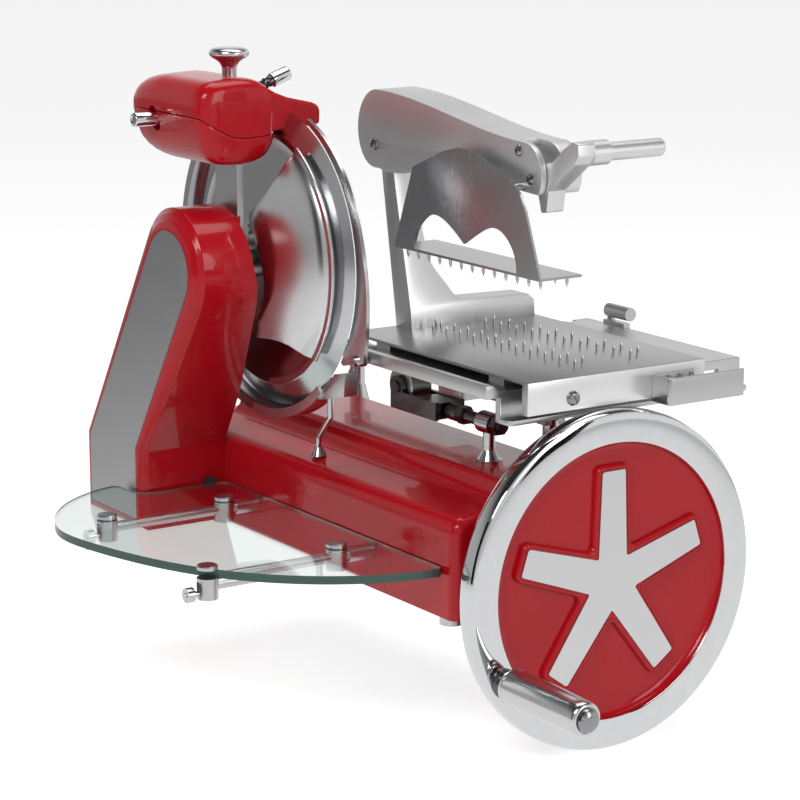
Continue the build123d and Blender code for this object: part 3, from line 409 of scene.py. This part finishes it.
# %% Turning and cutting
def turned(name, profile, finish, origin=(0, 0, 0), along=(0, 0, 1), steps=64, ring=False,
           angle=35):
    """Follows a profile of (distance, radius) in millimetres along an axis."""
    first, radius = profile[0]
    piece = start(name, "circle", vertices=steps, radius=radius * MM,
                  location=(0, 0, first * MM), fill_type="NOTHING" if ring else "NGON")
    bpy.ops.object.mode_set(mode="OBJECT")
    bpy.ops.object.transform_apply(location=True)
    bpy.ops.object.mode_set(mode="EDIT")
    for (low, before), (high, after) in zip(profile, profile[1:]):
        bpy.ops.mesh.extrude_region_move(
            TRANSFORM_OT_translate={"value": (0, 0, (high - low) * MM)})
        bpy.ops.transform.resize(value=(after / before, after / before, 1),
                                 center_override=(0, 0, high * MM))
    close_up(piece, finish, angle)
    put(piece, origin, along)
    return piece


def cut(name, corners, pull=None):
    """Moves a filled circle's corners onto an outline in millimetres, and may pull it up."""
    piece = start(name, "circle", vertices=len(corners), radius=0.05, fill_type="NGON")
    for index, corner in enumerate(corners):
        bpy.ops.mesh.select_all(action="DESELECT")
        cage = bmesh.from_edit_mesh(piece.data)
        cage.verts.ensure_lookup_table()
        cage.verts[index].select_set(True)
        cage.select_flush(True)
        bpy.ops.transform.translate(value=Vector(corner) * MM - cage.verts[index].co)
    bpy.ops.mesh.select_all(action="SELECT")
    if pull:
        bpy.ops.mesh.extrude_region_move(TRANSFORM_OT_translate={"value": Vector(pull) * MM})
    return piece


def block(name, size, middle):
    """A box in millimetres, still selected in edit mode."""
    piece = start(name, "cube", size=1)
    bpy.ops.transform.resize(value=[length * MM for length in size])
    bpy.ops.transform.translate(value=[place * MM for place in middle])
    return piece


def smooth_line(points, between=6):
    """Points along a Catmull-Rom curve through the given ones."""
    ends = [points[0]] + list(points) + [points[-1]]
    line = []
    for a, b, c, d in zip(ends, ends[1:], ends[2:], ends[3:]):
        for step in range(between):
            t = step / between
            line.append(tuple(0.5 * (2 * q + (r - p) * t + (2 * p - 5 * q + 4 * r - s) * t * t
                                     + (3 * q - p - 3 * r + s) * t ** 3)
                              for p, q, r, s in zip(a, b, c, d)))
    return line + [tuple(points[-1])]


print("a piece can be turned, cut from an outline or started as a block")

# %% Carving, softening and joining
def carve(piece, tool, operation="DIFFERENCE"):
    """Applies a boolean and throws the tool away."""
    pick(piece)
    step = piece.modifiers.new("carve", "BOOLEAN")
    step.operation = operation
    step.solver = "EXACT"
    step.object = tool
    bpy.ops.object.modifier_apply(modifier="carve")
    bpy.data.objects.remove(tool)


def soften(piece, width, segments=2, angle=30):
    """A bevel on the sharp edges, in millimetres."""
    bpy.ops.object.mode_set(mode="OBJECT")
    bpy.context.view_layer.objects.active = piece
    step = piece.modifiers.new("soften", "BEVEL")
    step.width = width * MM
    step.segments = segments
    step.limit_method = "ANGLE"
    step.angle_limit = math.radians(angle)
    step.harden_normals = False
    bpy.ops.object.modifier_apply(modifier="soften")


def copy_of(piece, name):
    twin = piece.copy()
    twin.data = piece.data.copy()
    twin.name = twin.data.name = name
    scene.collection.objects.link(twin)
    return twin


def gather(name, *pieces):
    """Joins several meshes into one piece."""
    pick(*pieces)
    bpy.ops.object.join()
    pieces[0].name = pieces[0].data.name = name
    return pieces[0]


def fit(piece, body, slot, *replaced):
    """Hangs a piece on its body, in place of the CAD parts that it replaces."""
    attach(piece, body)
    if replaced:
        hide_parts(*replaced)
    print(piece.name, "rides on", body, "with", len(piece.data.polygons), "faces")


print("tools ready")

# %% [markdown]
# ## Screws with a slot
# The arm, the table and the crank are held by domed screws with a slot. A slot could be painted on,
# but it catches the light, so it is cut: the head is a turned dome with a narrow block taken out of
# it. It is made at the origin for each size, then turned by its slot's angle and put in its place.

# %% Slotted screw heads
SHANK = 2.0


def slotted(name, origin, along, radius, height, angle):
    dome = [(-SHANK, radius * 0.6), (0, radius * 0.6), (0, radius * 0.97),
            (height * 0.25, radius), (height * 0.55, radius * 0.93),
            (height * 0.82, radius * 0.72), (height, radius * 0.40), (height * 1.02, 0.05)]
    head = turned(name, dome, screw_steel, steps=32)
    slot = block("slot_tool", (radius * 2.4, radius * 0.2, height * 0.9), (0, 0, height))
    carve(head, slot)
    put(head, origin, along, angle)
    return close_up(head, screw_steel, 30)


arm_screws = gather("arm_screws",
                    slotted("arm_screw", (-22, -6, 413), (0, -1, 0), 6.0, 3.2, 60),
                    slotted("arm_screw", (238.5, -6, 408.5), (0, -1, 0), 5.5, 3.0, 35),
                    slotted("arm_screw", (220, -6, 433), (0, -1, 0), 5.5, 3.0, 50),
                    slotted("arm_screw", (-22, 40, 413), (0, 1, 0), 6.0, 3.2, 20),
                    turned("arm_axle", [(-6.5, 4), (40.5, 4)], polished,
                           (-22, 0, 413), (0, 1, 0), 32),
                    turned("lever_axle", [(-6.5, 4), (39.5, 4)], polished,
                           (238.5, 0, 408.5), (0, 1, 0), 32))
fit(arm_screws, "arm", "polished_steel", "arm_pins")
table_screw = slotted("table_screw", (286, 9.4, 211), (1, 0, 0), 7.0, 4.0, 35)
fit(table_screw, "table", "polished_steel", "cheek_screw")

# %% [markdown]
# ## The flywheel
# The wheel is a chromed ring round a recessed red disc. A torus or a bevelled cylinder would come
# close to the ring, but its face is flat, its outer edge round and its inner wall straight, so it
# is turned as a closed loop. The disc is turned too, with a fillet where it meets the ring.

# %% Chrome ring
WHEEL = (0, 48, 34)
RING = [(279, 133), (279, 154), (279.8, 158.2), (281.8, 161.2), (284.8, 163.0), (288, 163.5),
        (296, 163.5), (299.2, 162.9), (301.4, 161.4), (302.5, 159.4), (302.6, 158.2), (303, 157),
        (303, 134.4), (302.6, 133.3), (301.4, 132.9), (279, 132.9), (279, 133)]
ring = turned("flywheel_ring", RING, chrome, WHEEL, (1, 0, 0), 192, ring=True, angle=25)
fit(ring, "flywheel", "chrome", "flywheel_rim")

# %% Red disc
DISC_FACE = 294
DISC = [(266, 16), (266, 30), (280, 32), (288, 38), (289, 46), (286, 124), (286, 132.85),
        (301.2, 132.85), (299.0, 132.2), (296.6, 130.6), (295.2, 128.4), (294.4, 125.6),
        (DISC_FACE, 122), (DISC_FACE, 60), (DISC_FACE, 2), (DISC_FACE, 0.05)]
disc = turned("flywheel_disc_face", DISC, enamel, WHEEL, (1, 0, 0), 192, angle=40)
print("disc face", len(disc.data.polygons), "faces")

# %% [markdown]
# ## Spokes behind the disc
# Nothing in the photograph shows the wheel's back. A cast disc of this size is stiffened by ribs
# from its boss to its ring, so five plain ones stand behind it. One is a block whose far end is
# pushed in towards the disc, and it is made five times, each turned by a fifth.

# %% Ribs
RIB_SIZE, RIB_MIDDLE = (16, 96, 12), (280, 84, 0)
RIB_DRAFT = 6
BETWEEN_SPOKES = 72
FIRST_SPOKE = 18


def rear_spoke(turn_by):
    spoke = block("rear_spoke", RIB_SIZE, RIB_MIDDLE)
    pick_inside(spoke, "verts", lambda vert: vert.co.y > 0.1 and vert.co.x < 0.28)
    bpy.ops.transform.translate(value=(RIB_DRAFT * MM, 0, 0))
    soften(spoke, 2.0)
    spoke.data.transform(Matrix.Translation(Vector(WHEEL) * MM) @ Matrix.Rotation(turn_by, 4, "X"))
    return close_up(spoke, enamel)


rear = [rear_spoke(math.radians(BETWEEN_SPOKES * count + FIRST_SPOKE)) for count in range(5)]
disc = gather("flywheel_disc_face", disc, *rear)
fit(disc, "flywheel", "red_paint", "flywheel_disc")

# %% [markdown]
# ## The five raised spokes
# On the wheel's face stand five flat spokes with polished tops in bevelled red borders. They could
# be five bars joined by booleans, but one outline of the whole star keeps its inner corners clean.
# The outline's corners are rounded, and the face is then raised by one inset after another, each a
# step of the border's slope. The inlay is a smaller star of the same make.

# %% Outline of the star
SPOKE_TIP = 106.0
SPOKE_ROOT_HALF = 16.0
SPOKE_TIP_HALF = 13.0
STAR_FOOT = DISC_FACE - 1


def spoke_star(grow):
    """Corners of a five armed star round the wheel's middle, grown by grow millimetres."""
    corners = []
    valley = (SPOKE_ROOT_HALF + grow) / math.sin(math.radians(BETWEEN_SPOKES / 2))
    reach, half = SPOKE_TIP + grow, SPOKE_TIP_HALF + grow
    for count in range(5):
        out = math.radians(FIRST_SPOKE + BETWEEN_SPOKES * count)
        for sign in (-1, 1):
            across = out + math.radians(90) * sign
            corners.append((STAR_FOOT,
                            WHEEL[1] + reach * math.cos(out) + half * math.cos(across),
                            WHEEL[2] + reach * math.sin(out) + half * math.sin(across)))
        dip = out + math.radians(BETWEEN_SPOKES / 2)
        corners.append((STAR_FOOT, WHEEL[1] + valley * math.cos(dip),
                        WHEEL[2] + valley * math.sin(dip)))
    return corners


print("star has", len(spoke_star(0)), "corners")

# %% Relief and inlay
BORDER, INLAY_LIFT = 6.0, 5.3


def raised_star(name, grow, rounding, rise, insets, finish, lift=0.0):
    """A star that rises, then steps inwards by insets of (width, height)."""
    star = cut(name, spoke_star(grow))
    bpy.ops.mesh.bevel(offset=rounding * MM, segments=5, affect="VERTICES")
    bpy.ops.mesh.select_all(action="SELECT")
    bpy.ops.transform.translate(value=(lift * MM, 0, 0))
    bpy.ops.mesh.extrude_region_move(TRANSFORM_OT_translate={"value": (rise * MM, 0, 0)})
    for width, height in insets:
        bpy.ops.mesh.inset(thickness=width * MM, depth=height * MM)
    bpy.ops.mesh.select_all(action="SELECT")
    bpy.ops.mesh.quads_convert_to_tris(ngon_method="BEAUTY")
    return close_up(star, finish, 32)


SLOPE = ((0.6, 1.7), (0.7, 1.2), (0.9, 0.9), (0.9, 0.3), (0.4, 0.0), (0.5, -0.9))
relief = raised_star("flywheel_relief", BORDER, 7.0, 2.5, SLOPE, enamel)
fit(relief, "flywheel", "red_paint", "wheel_relief")
inlay = raised_star("flywheel_inlay", 0.4, 2.5, 1.6, ((0.3, 0.2),), satin_chrome, INLAY_LIFT)
fit(inlay, "flywheel", "chrome")

# %% [markdown]
# ## The crank grip
# The grip is a satin sleeve that widens towards its end and turns on a pin. A dark collar parts it
# from the ring, and a domed slotted screw holds it on. A scaled cylinder would lose the groove and
# the rolled lip at its ends, so the sleeve and the collar are turned as closed loops with a bore.

# %% Sleeve of the grip
CRANK_REACH = 147.0
crank_turn = math.radians(211.1)
CRANK = (0, WHEEL[1] + CRANK_REACH * math.cos(crank_turn),
         WHEEL[2] + CRANK_REACH * math.sin(crank_turn))
GRIP = [(313.5, 6.5), (313.5, 12.6), (314.3, 15.2), (316.2, 16.8), (319.6, 17.2),
        (320.4, 16.4), (321.4, 16.4), (322.4, 17.3), (345, 17.6), (385, 17.3), (414, 16.8),
        (421.5, 16.5), (425, 15.9), (427.2, 14.7), (428, 13.2), (428, 12.2), (427.2, 11.6),
        (427.2, 6.5), (313.5, 6.5)]
grip = turned("crank_handle", GRIP, satin_chrome, CRANK, (1, 0, 0), 64, ring=True)
fit(grip, "grip", "brushed_steel", "crank_grip")

# %% Collar and end screw
COLLAR = [(303, 6.1), (303, 13.2), (304, 14), (306.5, 14), (307.5, 12.6), (311.5, 11.2),
          (313, 10.6), (313, 6.1), (303, 6.1)]
collar = turned("handle_collar", COLLAR, dark_steel, CRANK, (1, 0, 0), 48, ring=True)
fit(collar, "flywheel", "dark_steel", "crank_collar")
end_screw = slotted("handle_screw", (428.2, CRANK[1], CRANK[2]), (1, 0, 0), 11.2, 6.6, 62)
pin = turned("handle_pin", [(280, 6), (428, 6)], polished, CRANK, (1, 0, 0), 32)
end_screw = gather("handle_screw", end_screw, pin)
fit(end_screw, "flywheel", "polished_steel", "crank_pin")

# %% [markdown]
# ## The sharpener
# Two enamelled shells hold the grinding stones above the blade. A subdivided cube would give a soft
# head, but not one whose side outline can be set. Here the outline is cut, pulled along X and drawn
# in at both ends. A wavy tool then parts it into cap and body, so that the seam runs as on the real
# castings.

# %% Profile of the head
HEAD_SIDE = smooth_line([(-184, 446), (-183.6, 460), (-179, 471.5), (-169, 478.5), (-152, 480.5),
                         (-126, 481), (-109, 475.5), (-98, 464), (-94.5, 449), (-95, 430),
                         (-99, 414), (-109, 402.5), (-126, 397.2), (-150, 397), (-164, 399.5),
                         (-174, 408), (-180, 424), (-184, 446)], 3)[:-1]
HEAD_MIDDLE = (-139.5, 439)
HEAD_START = -150
HEAD_ENDS = [(-74, 1.0, 1.0), (-68, 0.997, 0.997), (-63, 0.975, 0.975), (-59.6, 0.935, 0.935),
             (-57.2, 0.875, 0.875), (-55.7, 0.80, 0.80), (-55, 0.70, 0.70), (-54.6, 0.45, 0.45)]
HEAD_FAR = [(-150.1, 1.0, 1.0), (-163, 0.995, 0.978), (-174, 0.985, 0.94), (-184, 0.965, 0.875),
            (-192, 0.935, 0.79), (-198, 0.885, 0.68), (-202.5, 0.81, 0.53), (-205, 0.66, 0.34)]
print("head outline has", len(HEAD_SIDE), "corners")

# %% Head block
def draw_in(steps):
    """Pulls the selected end along X step by step and scales it about the head's middle."""
    before, x_now = (1.0, 1.0), HEAD_START
    for x, wide, high in steps:
        bpy.ops.mesh.extrude_region_move(
            TRANSFORM_OT_translate={"value": ((x - x_now) * MM, 0, 0)})
        bpy.ops.transform.resize(
            value=(1, wide / before[0], high / before[1]),
            center_override=(x * MM, HEAD_MIDDLE[0] * MM, HEAD_MIDDLE[1] * MM))
        before, x_now = (wide, high), x


def head_block(name):
    piece = cut(name, [(HEAD_START, y, z) for y, z in HEAD_SIDE])
    draw_in(HEAD_ENDS)
    pick_inside(piece, "faces",
                lambda face: abs(face.calc_center_median().x - HEAD_START * MM) < 0.0001)
    draw_in(HEAD_FAR)
    return close_up(piece, enamel, 40)


def wave_tool(drop):
    """Everything above the parting line, lowered a little for the body's tool."""
    wave = smooth_line([(-215, 448), (-184, 446), (-176, 441), (-162, 433), (-148, 426.5),
                        (-134, 424.5), (-116, 425), (-80, 428), (-30, 430)], 4)
    corners = [(-220, y, z - drop) for y, z in wave] + [(-220, -30, 560), (-220, -215, 560)]
    return close_up(cut("wave_tool", corners, (200, 0, 0)), enamel)


SEAM = 0.9
body = head_block("sharpener_shell")
cap = copy_of(body, "sharpener_lid")
carve(cap, wave_tool(0.0), "INTERSECT")
carve(body, wave_tool(SEAM))
print("cap and body", len(cap.data.polygons), len(body.data.polygons))

# %% [markdown]
# ## The hood and the openings
# A hood reaches from the cap over the blade, and the shells are open where the stones, the pins and
# the knob's spindle pass. The openings could be modelled into the block's faces, but its faces
# follow the head's roundness and not the holes, so each opening is carved with a tool of its size.

# %% Hood and openings
HOOD = [(-112, 428), (-60, 431), (-47.6, 432.4), (-47.2, 446), (-49.5, 451), (-56, 454),
        (-84, 460.5), (-98, 466), (-112, 474)]
hood = cut("hood", [(-142, y, z) for y, z in HOOD], (86, 0, 0))
close_up(hood, enamel)
soften(hood, 3.5, 4, 25)
carve(cap, hood, "UNION")


def box_tool(low, high):
    tool = block("box_tool", [b - a for a, b in zip(low, high)],
                 [(a + b) / 2 for a, b in zip(low, high)])
    bpy.ops.object.mode_set(mode="OBJECT")
    return tool


TILT = (0, 0.9411, 0.3382)
carve(cap, box_tool((-136, -109, 405), (-62, -52.5, 449)))
carve(body, box_tool((-109, -138, 390), (-67, -129.5, 404)))
for shell in (cap, body):
    for place in ((-150, -195, 442), (-147, -195, 433.5)):
        carve(shell, turned("slot_tool", [(0, 8.2), (30, 8.2)], rubber, place, (0, 1, 0), 32))
    carve(shell, box_tool((-165.5, -116, 419), (-128.5, -88, 456)))
    carve(shell, turned("bore_tool", [(0, 7), (60, 7)], rubber, (-120, -115, 452), TILT, 32))
    soften(shell, 0.7, 2, 40)
    close_up(shell, enamel, 45)
fit(cap, "base", "red_paint", "sharpener_cap")
fit(body, "base", "red_paint", "sharpener_body")

# %% [markdown]
# ## The knob and the push pins
# A mushroom knob on top sets the stones' height, and two chromed pins press the stones against the
# blade. All three are lathe work on the real machine, so they are turned here as well: a cylinder
# with a bevel would miss the knob's dished underside and the pins' hollow ends.

# %% Knob
KNOB = [(470, 7.2), (487, 7.2), (490, 8.0), (493, 10.0), (495.6, 13.4), (497.6, 16.8),
        (499.6, 19.0), (501.8, 19.7), (504, 19.4), (505.8, 18.0), (507, 15), (507.7, 10),
        (508, 5), (508, 0.1)]
knob = turned("sharpener_button", KNOB, satin_chrome, (-105, -122, 0), (0, 0, 1), 64, angle=60)
fit(knob, "knob", "chrome", "sharpener_knob")

# %% Sharpening pin
PUSH_PLACE = (-147, -170, 437.5)
PUSH = [(0, 5), (0, 7.1), (35.6, 7.1), (36.8, 6.6), (37.2, 6.0), (37.1, 5.2), (36.2, 4.9),
        (36.2, 0.1)]
push = turned("sharpening_plunger", PUSH, chrome, PUSH_PLACE, (0, -1, 0), 48)
rod = turned("sharpening_rod", [(-60, 5), (2, 5)], chrome, PUSH_PLACE, (0, -1, 0), 32)
push = gather("sharpening_plunger", push, rod)
fit(push, "sharpener_slide", "chrome", "sharpening_pin")

# %% Deburring pin
PLUG_PLACE = (-120, -104, 456.2)
PLUG = [(41.5, 6.2), (42.2, 7.3), (60.8, 7.3), (61.9, 6.9), (62.6, 6.0), (62.7, 0.1)]
NECK = [(2, 4.6), (32, 4.6), (34, 5.8), (36, 4.4), (38, 5.4), (42, 5.4)]
plug = turned("deburring_plunger", PLUG, chrome, PLUG_PLACE, TILT, 48)
neck = turned("deburring_neck", NECK, dark_steel, PLUG_PLACE, TILT, 32)
fit(plug, "deburr_slide", "chrome", "deburring_pin")
fit(neck, "deburr_slide", "dark_steel")

# %% [markdown]
# ## The blade cover
# The cover is a spun steel dome: a flat rim, a small step and a deep bowl. It could be a disc with
# a solidified wall, but a wall of even thickness is as easy to turn together with its lining, as
# one closed loop. A tool with the cover's outline then leaves the crescent that clears the hub.

# %% Turned bowl
BLADE = (-88, 0, 300)
BOWL = [(-98.6, 137), (-100.4, 137), (-101.2, 136.2), (-101.2, 130.5), (-102.6, 129.2),
        (-105.6, 125.5), (-109, 117), (-113, 103), (-117.4, 86), (-121.6, 68), (-125, 50),
        (-127.2, 32), (-128, 20), (-126.6, 20), (-125.8, 32), (-123.6, 50), (-120.2, 68),
        (-116, 85.5), (-111.6, 102), (-107.8, 115.6), (-104.6, 123.8), (-101.8, 127.6),
        (-99.6, 129.6), (-98.6, 131), (-98.6, 137)]
bowl = turned("blade_dome", BOWL, dome_steel, BLADE, (0, 1, 0), 160, ring=True, angle=30)
print("bowl", len(bowl.data.polygons), "faces")

# %% Crescent
NOTCH = smooth_line([(-66, 349), (-64, 340), (-54, 326), (-44, 308), (-39, 290), (-39, 278),
                     (-43, 264), (-52, 248), (-59, 236), (-63, 224)], 5)
FOOT_CUT = smooth_line([(-63, 224), (-43, 226), (-22, 225), (-4, 220), (14, 212), (40, 200)], 4)
HEAD_CUT = smooth_line([(40, 430), (-12, 418), (-20, 408), (-27, 396), (-38, 379), (-50, 364),
                        (-66, 349)], 4)
outline = NOTCH + FOOT_CUT[1:] + [(80, 200), (80, 430)] + HEAD_CUT[:-1]
crescent = cut("cover_tool", [(x, -140, z) for x, z in outline], (0, 60, 0))
carve(bowl, close_up(crescent, dome_steel), "INTERSECT")
soften(bowl, 0.5, 2, 40)
close_up(bowl, dome_steel, 30)
fit(bowl, "base", "polished_steel", "blade_cover")

# %% [markdown]
# ## The blade
# The blade is a thin dished disc with a wide ground bevel, whose edge lies towards the table. A
# flat disc with a bevel modifier would be even on both sides, so it is turned from its own section.
# The bright bevel shows as a ring behind the cover.

# %% Blade
DISC_BLADE = [(-91.5, 8.2), (-91.5, 112), (-92.4, 118), (-93.4, 122), (-93.4, 128),
              (-92.8, 128.6), (-83, 149.9), (-82.9, 149.9), (-84.5, 138), (-87, 118),
              (-87, 8.2), (-91.5, 8.2)]
knife = turned("blade_disc", DISC_BLADE, polished, BLADE, (0, 1, 0), 192, ring=True, angle=12)
fit(knife, "blade_unit", "polished_steel", "blade")

# %% [markdown]
# ## Broken edges on the castings
# No real casting or sheet has a knife edge, and it is the thin bright line along an edge that makes
# metal look solid. These parts have their CAD shape already, so modelling them again would only add
# mistakes: a copy of each is merged, its flat faces are rejoined and its sharp edges are bevelled.

# %% Rounded copies
def rounded(node_name, name, width, finish, body, slot, segments=3):
    piece = bpy.data.objects.new(name, nodes[node_name].data.copy())
    scene.collection.objects.link(piece)
    pick(piece)
    piece.data.materials.clear()
    piece.data.materials.append(finish)
    bpy.ops.object.mode_set(mode="EDIT")
    bpy.ops.mesh.select_all(action="SELECT")
    bpy.ops.mesh.remove_doubles(threshold=0.00002)
    bpy.ops.mesh.dissolve_limited(angle_limit=math.radians(1.0))
    soften(piece, width, segments, 28)
    bpy.ops.object.shade_smooth_by_angle(angle=math.radians(32))
    fit(piece, body, slot, node_name)
    return piece


# The arm and lever castings keep the lighter copy of the casting: painted light.
rounded("press_arm", "arm_casting", 2.6, painted_lit_casting, "arm", "cast_aluminium", 4)
rounded("column", "column_casting", 1.6, casting, "table", "cast_aluminium")
rounded("press_lever", "lever_casting", 1.5, painted_lit_casting, "lever", "cast_aluminium")
rounded("feed_table", "table_plate", 0.7, table_steel, "table", "brushed_steel")
rounded("carriage_bed", "carriage_casting", 0.9, casting, "carriage", "cast_aluminium")
rounded("slide_rail", "rail_edge", 0.7, casting, "carriage", "cast_aluminium")
rounded("finger_grip", "finger_bracket", 0.6, brushed_y, "table", "brushed_steel")
rounded("guard_bracket", "guard_foot", 1.4, casting, "base", "cast_aluminium")
tower = rounded("tower_housing", "tower_casting", 3.0, enamel, "base", "red_paint", 4)
rounded("bearing_blocks", "slide_bearings", 1.0, casting, "carriage", "cast_aluminium")

# %% [markdown]
# ## The crown of the tower
# Behind the plaque the casting swells upwards and stands a little higher than the flat front. The
# round top is selected by its distance from its middle and scaled, and the front plane is left out.
# Scaling in three passes, each from a little further back, rounds the step's edge.

# %% Crown
CROWN = Vector((-0.089, 0, 0.295))
CROWN_FOOT = 0.262
CROWN_INNER, CROWN_OUTER = 0.040, 0.075
PASSES = ((-0.2035, 1.03, 1.06), (-0.2005, 1.04, 1.08), (-0.1965, 1.04, 1.06))


def in_crown(vert, front):
    reach = math.hypot(vert.co.x - CROWN.x, vert.co.z - CROWN.z)
    return vert.co.y > front and vert.co.z > CROWN_FOOT and CROWN_INNER < reach < CROWN_OUTER


pick(tower)
bpy.ops.object.mode_set(mode="EDIT")
for front, wide, high in PASSES:
    pick_inside(tower, "verts", lambda vert: in_crown(vert, front))
    bpy.ops.transform.resize(value=(wide, 1, high), center_override=CROWN)
bpy.ops.object.mode_set(mode="OBJECT")
bpy.ops.object.shade_smooth_by_angle(angle=math.radians(32))
print("tower top", max(vert.co.z for vert in tower.data.vertices))

# %% [markdown]
# ## Light, floor and background
# The photograph was taken in a white studio: one broad light above and in front, weaker ones from
# the side and the top, and dark panels beside the camera that draw the dark lines in the chrome. An
# image of a studio round the scene could do the same, but lamps and panels can be moved one by one.

# %% Lamps
def aimed(place, aim, front):
    """The turn that points a lamp's or a panel's front from place towards aim."""
    return (Vector(aim) - Vector(place)).to_track_quat(front, "Y")


def add_light(name, place, aim, size, power):
    data = bpy.data.lights.new(name, "AREA")
    data.shape = "RECTANGLE"
    data.size, data.size_y = size
    data.energy = power
    lamp = bpy.data.objects.new(name, data)
    lamp.location = place
    lamp.rotation_euler = aimed(place, aim, "-Z").to_euler()
    scene.collection.objects.link(lamp)


add_light("key", (1.5, -2.2, 2.3), (0, 0, 0.15), (1.5, 0.9), 40)
add_light("side", (2.9, 0.9, 1.1), (0, 0, 0.15), (0.9, 1.5), 15)
add_light("top", (-0.2, 0.4, 2.2), (0, 0, 0.2), (2.0, 1.2), 20)
print("lamps", len(bpy.data.lights))

# %% Floor and dark panels
FLAGS = (("flag_left", (0.2, -3.0, 0.7), (1.1, 2.2)),
         ("flag_right", (3.4, 1.6, 0.5), (0.6, 2.0)),
         ("flag_top", (1.2, -0.4, 2.9), (0.5, 3.0)))


def add_panel(name, place, aim, size, tone):
    """A plane of the stage, and the recipe of its plain matt paint."""
    bpy.ops.object.select_all(action="DESELECT")
    bpy.ops.mesh.primitive_plane_add(size=1)
    panel = bpy.context.object
    panel.name = name
    turn = aimed(place, aim, "Z").to_matrix().to_4x4()
    panel.data.transform(Matrix.Translation(place) @ turn @ Matrix.Diagonal((*size, 1, 1)))
    card = Recipe(name)
    card.set(Base_Color=(*grey(tone), 1), Roughness=1.0, Specular_IOR_Level=0.0)
    panel.data.materials.append(card.material)
    return panel, card


floor_level = cad_box[0][2] - 0.002
floor, ground = add_panel("floor", (0, 0, floor_level), (0, 0, 9), (24, 24), 0.9)
for name, place, size in FLAGS:
    flag, card = add_panel(name, place, (0, 0, 0.2), size, 0.02)
    flag.visible_camera = flag.visible_diffuse = False
    flag.visible_shadow = flag.visible_transmission = False
print("floor at", floor_level)

# %% [markdown]
# ## White where the camera looks
# The floor and the world are white for the camera and behind glass. If reflections saw the same
# white, chrome would look like paper. So they see a studio instead: a white floor that fades away
# from the machine, a pale wall and a darker ceiling, which gives metal and enamel their gradients.
# The kind of ray decides which of the two is shown, and no light is added to the object.

# %% Floor
WHITE_FLOOR = 0.62


def seen_by(recipe, *kinds):
    """1 for the named kinds of ray, else 0."""
    found, *others = [recipe.node("ShaderNodeLightPath", out=kind) for kind in kinds]
    for other in others:
        found = found.maths("MAXIMUM", found, other)
    return found


ground.set(Emission_Color=(1, 1, 1, 1),
           Emission_Strength=seen_by(ground, "Is Camera Ray", "Is Transmission Ray") * WHITE_FLOOR)
distance = ground.node("ShaderNodeVectorMath", {"operation": "LENGTH"}, {0: ground.place()},
                       out="Value")
far_dark = ground.fading(distance, 0.5, 4.0, 0.95, 0.62)
left_dark = ground.fading(ground.axis("X"), -2.4, -0.3, 0.35, 1.0)
in_metal = ground.node("ShaderNodeEmission", None, {"Strength": far_dark * left_dark})
ground.choose(seen_by(ground, "Is Glossy Ray"), ground.own_shader(), in_metal)
print("floor is", ground.material.name)

# %% World
ROOM_LIGHT = 0.30
world = bpy.data.worlds.new("studio")
scene.world = world
world.use_nodes = True
sky = Recipe("sky", world.node_tree)
ceiling = sky.fading(sky.axis("Z", "Generated"), 0.2, 0.75, 0.92, 0.06)
walls = sky.fading(sky.axis("Y", "Generated"), -0.7, 0.6, 0.5, 1.0)
lit = sky.node("ShaderNodeMix", None,
               {0: seen_by(sky, "Is Glossy Ray"), 2: ROOM_LIGHT, 3: ceiling * walls})
shown = sky.node("ShaderNodeMix", None,
                 {0: seen_by(sky, "Is Camera Ray", "Is Transmission Ray"), 2: lit, 3: 1.0})
background = world.node_tree.nodes["Background"]
background.inputs["Color"].default_value = (1, 1, 1, 1)
sky.feed(background.inputs["Strength"], shown)
print("studio ready")
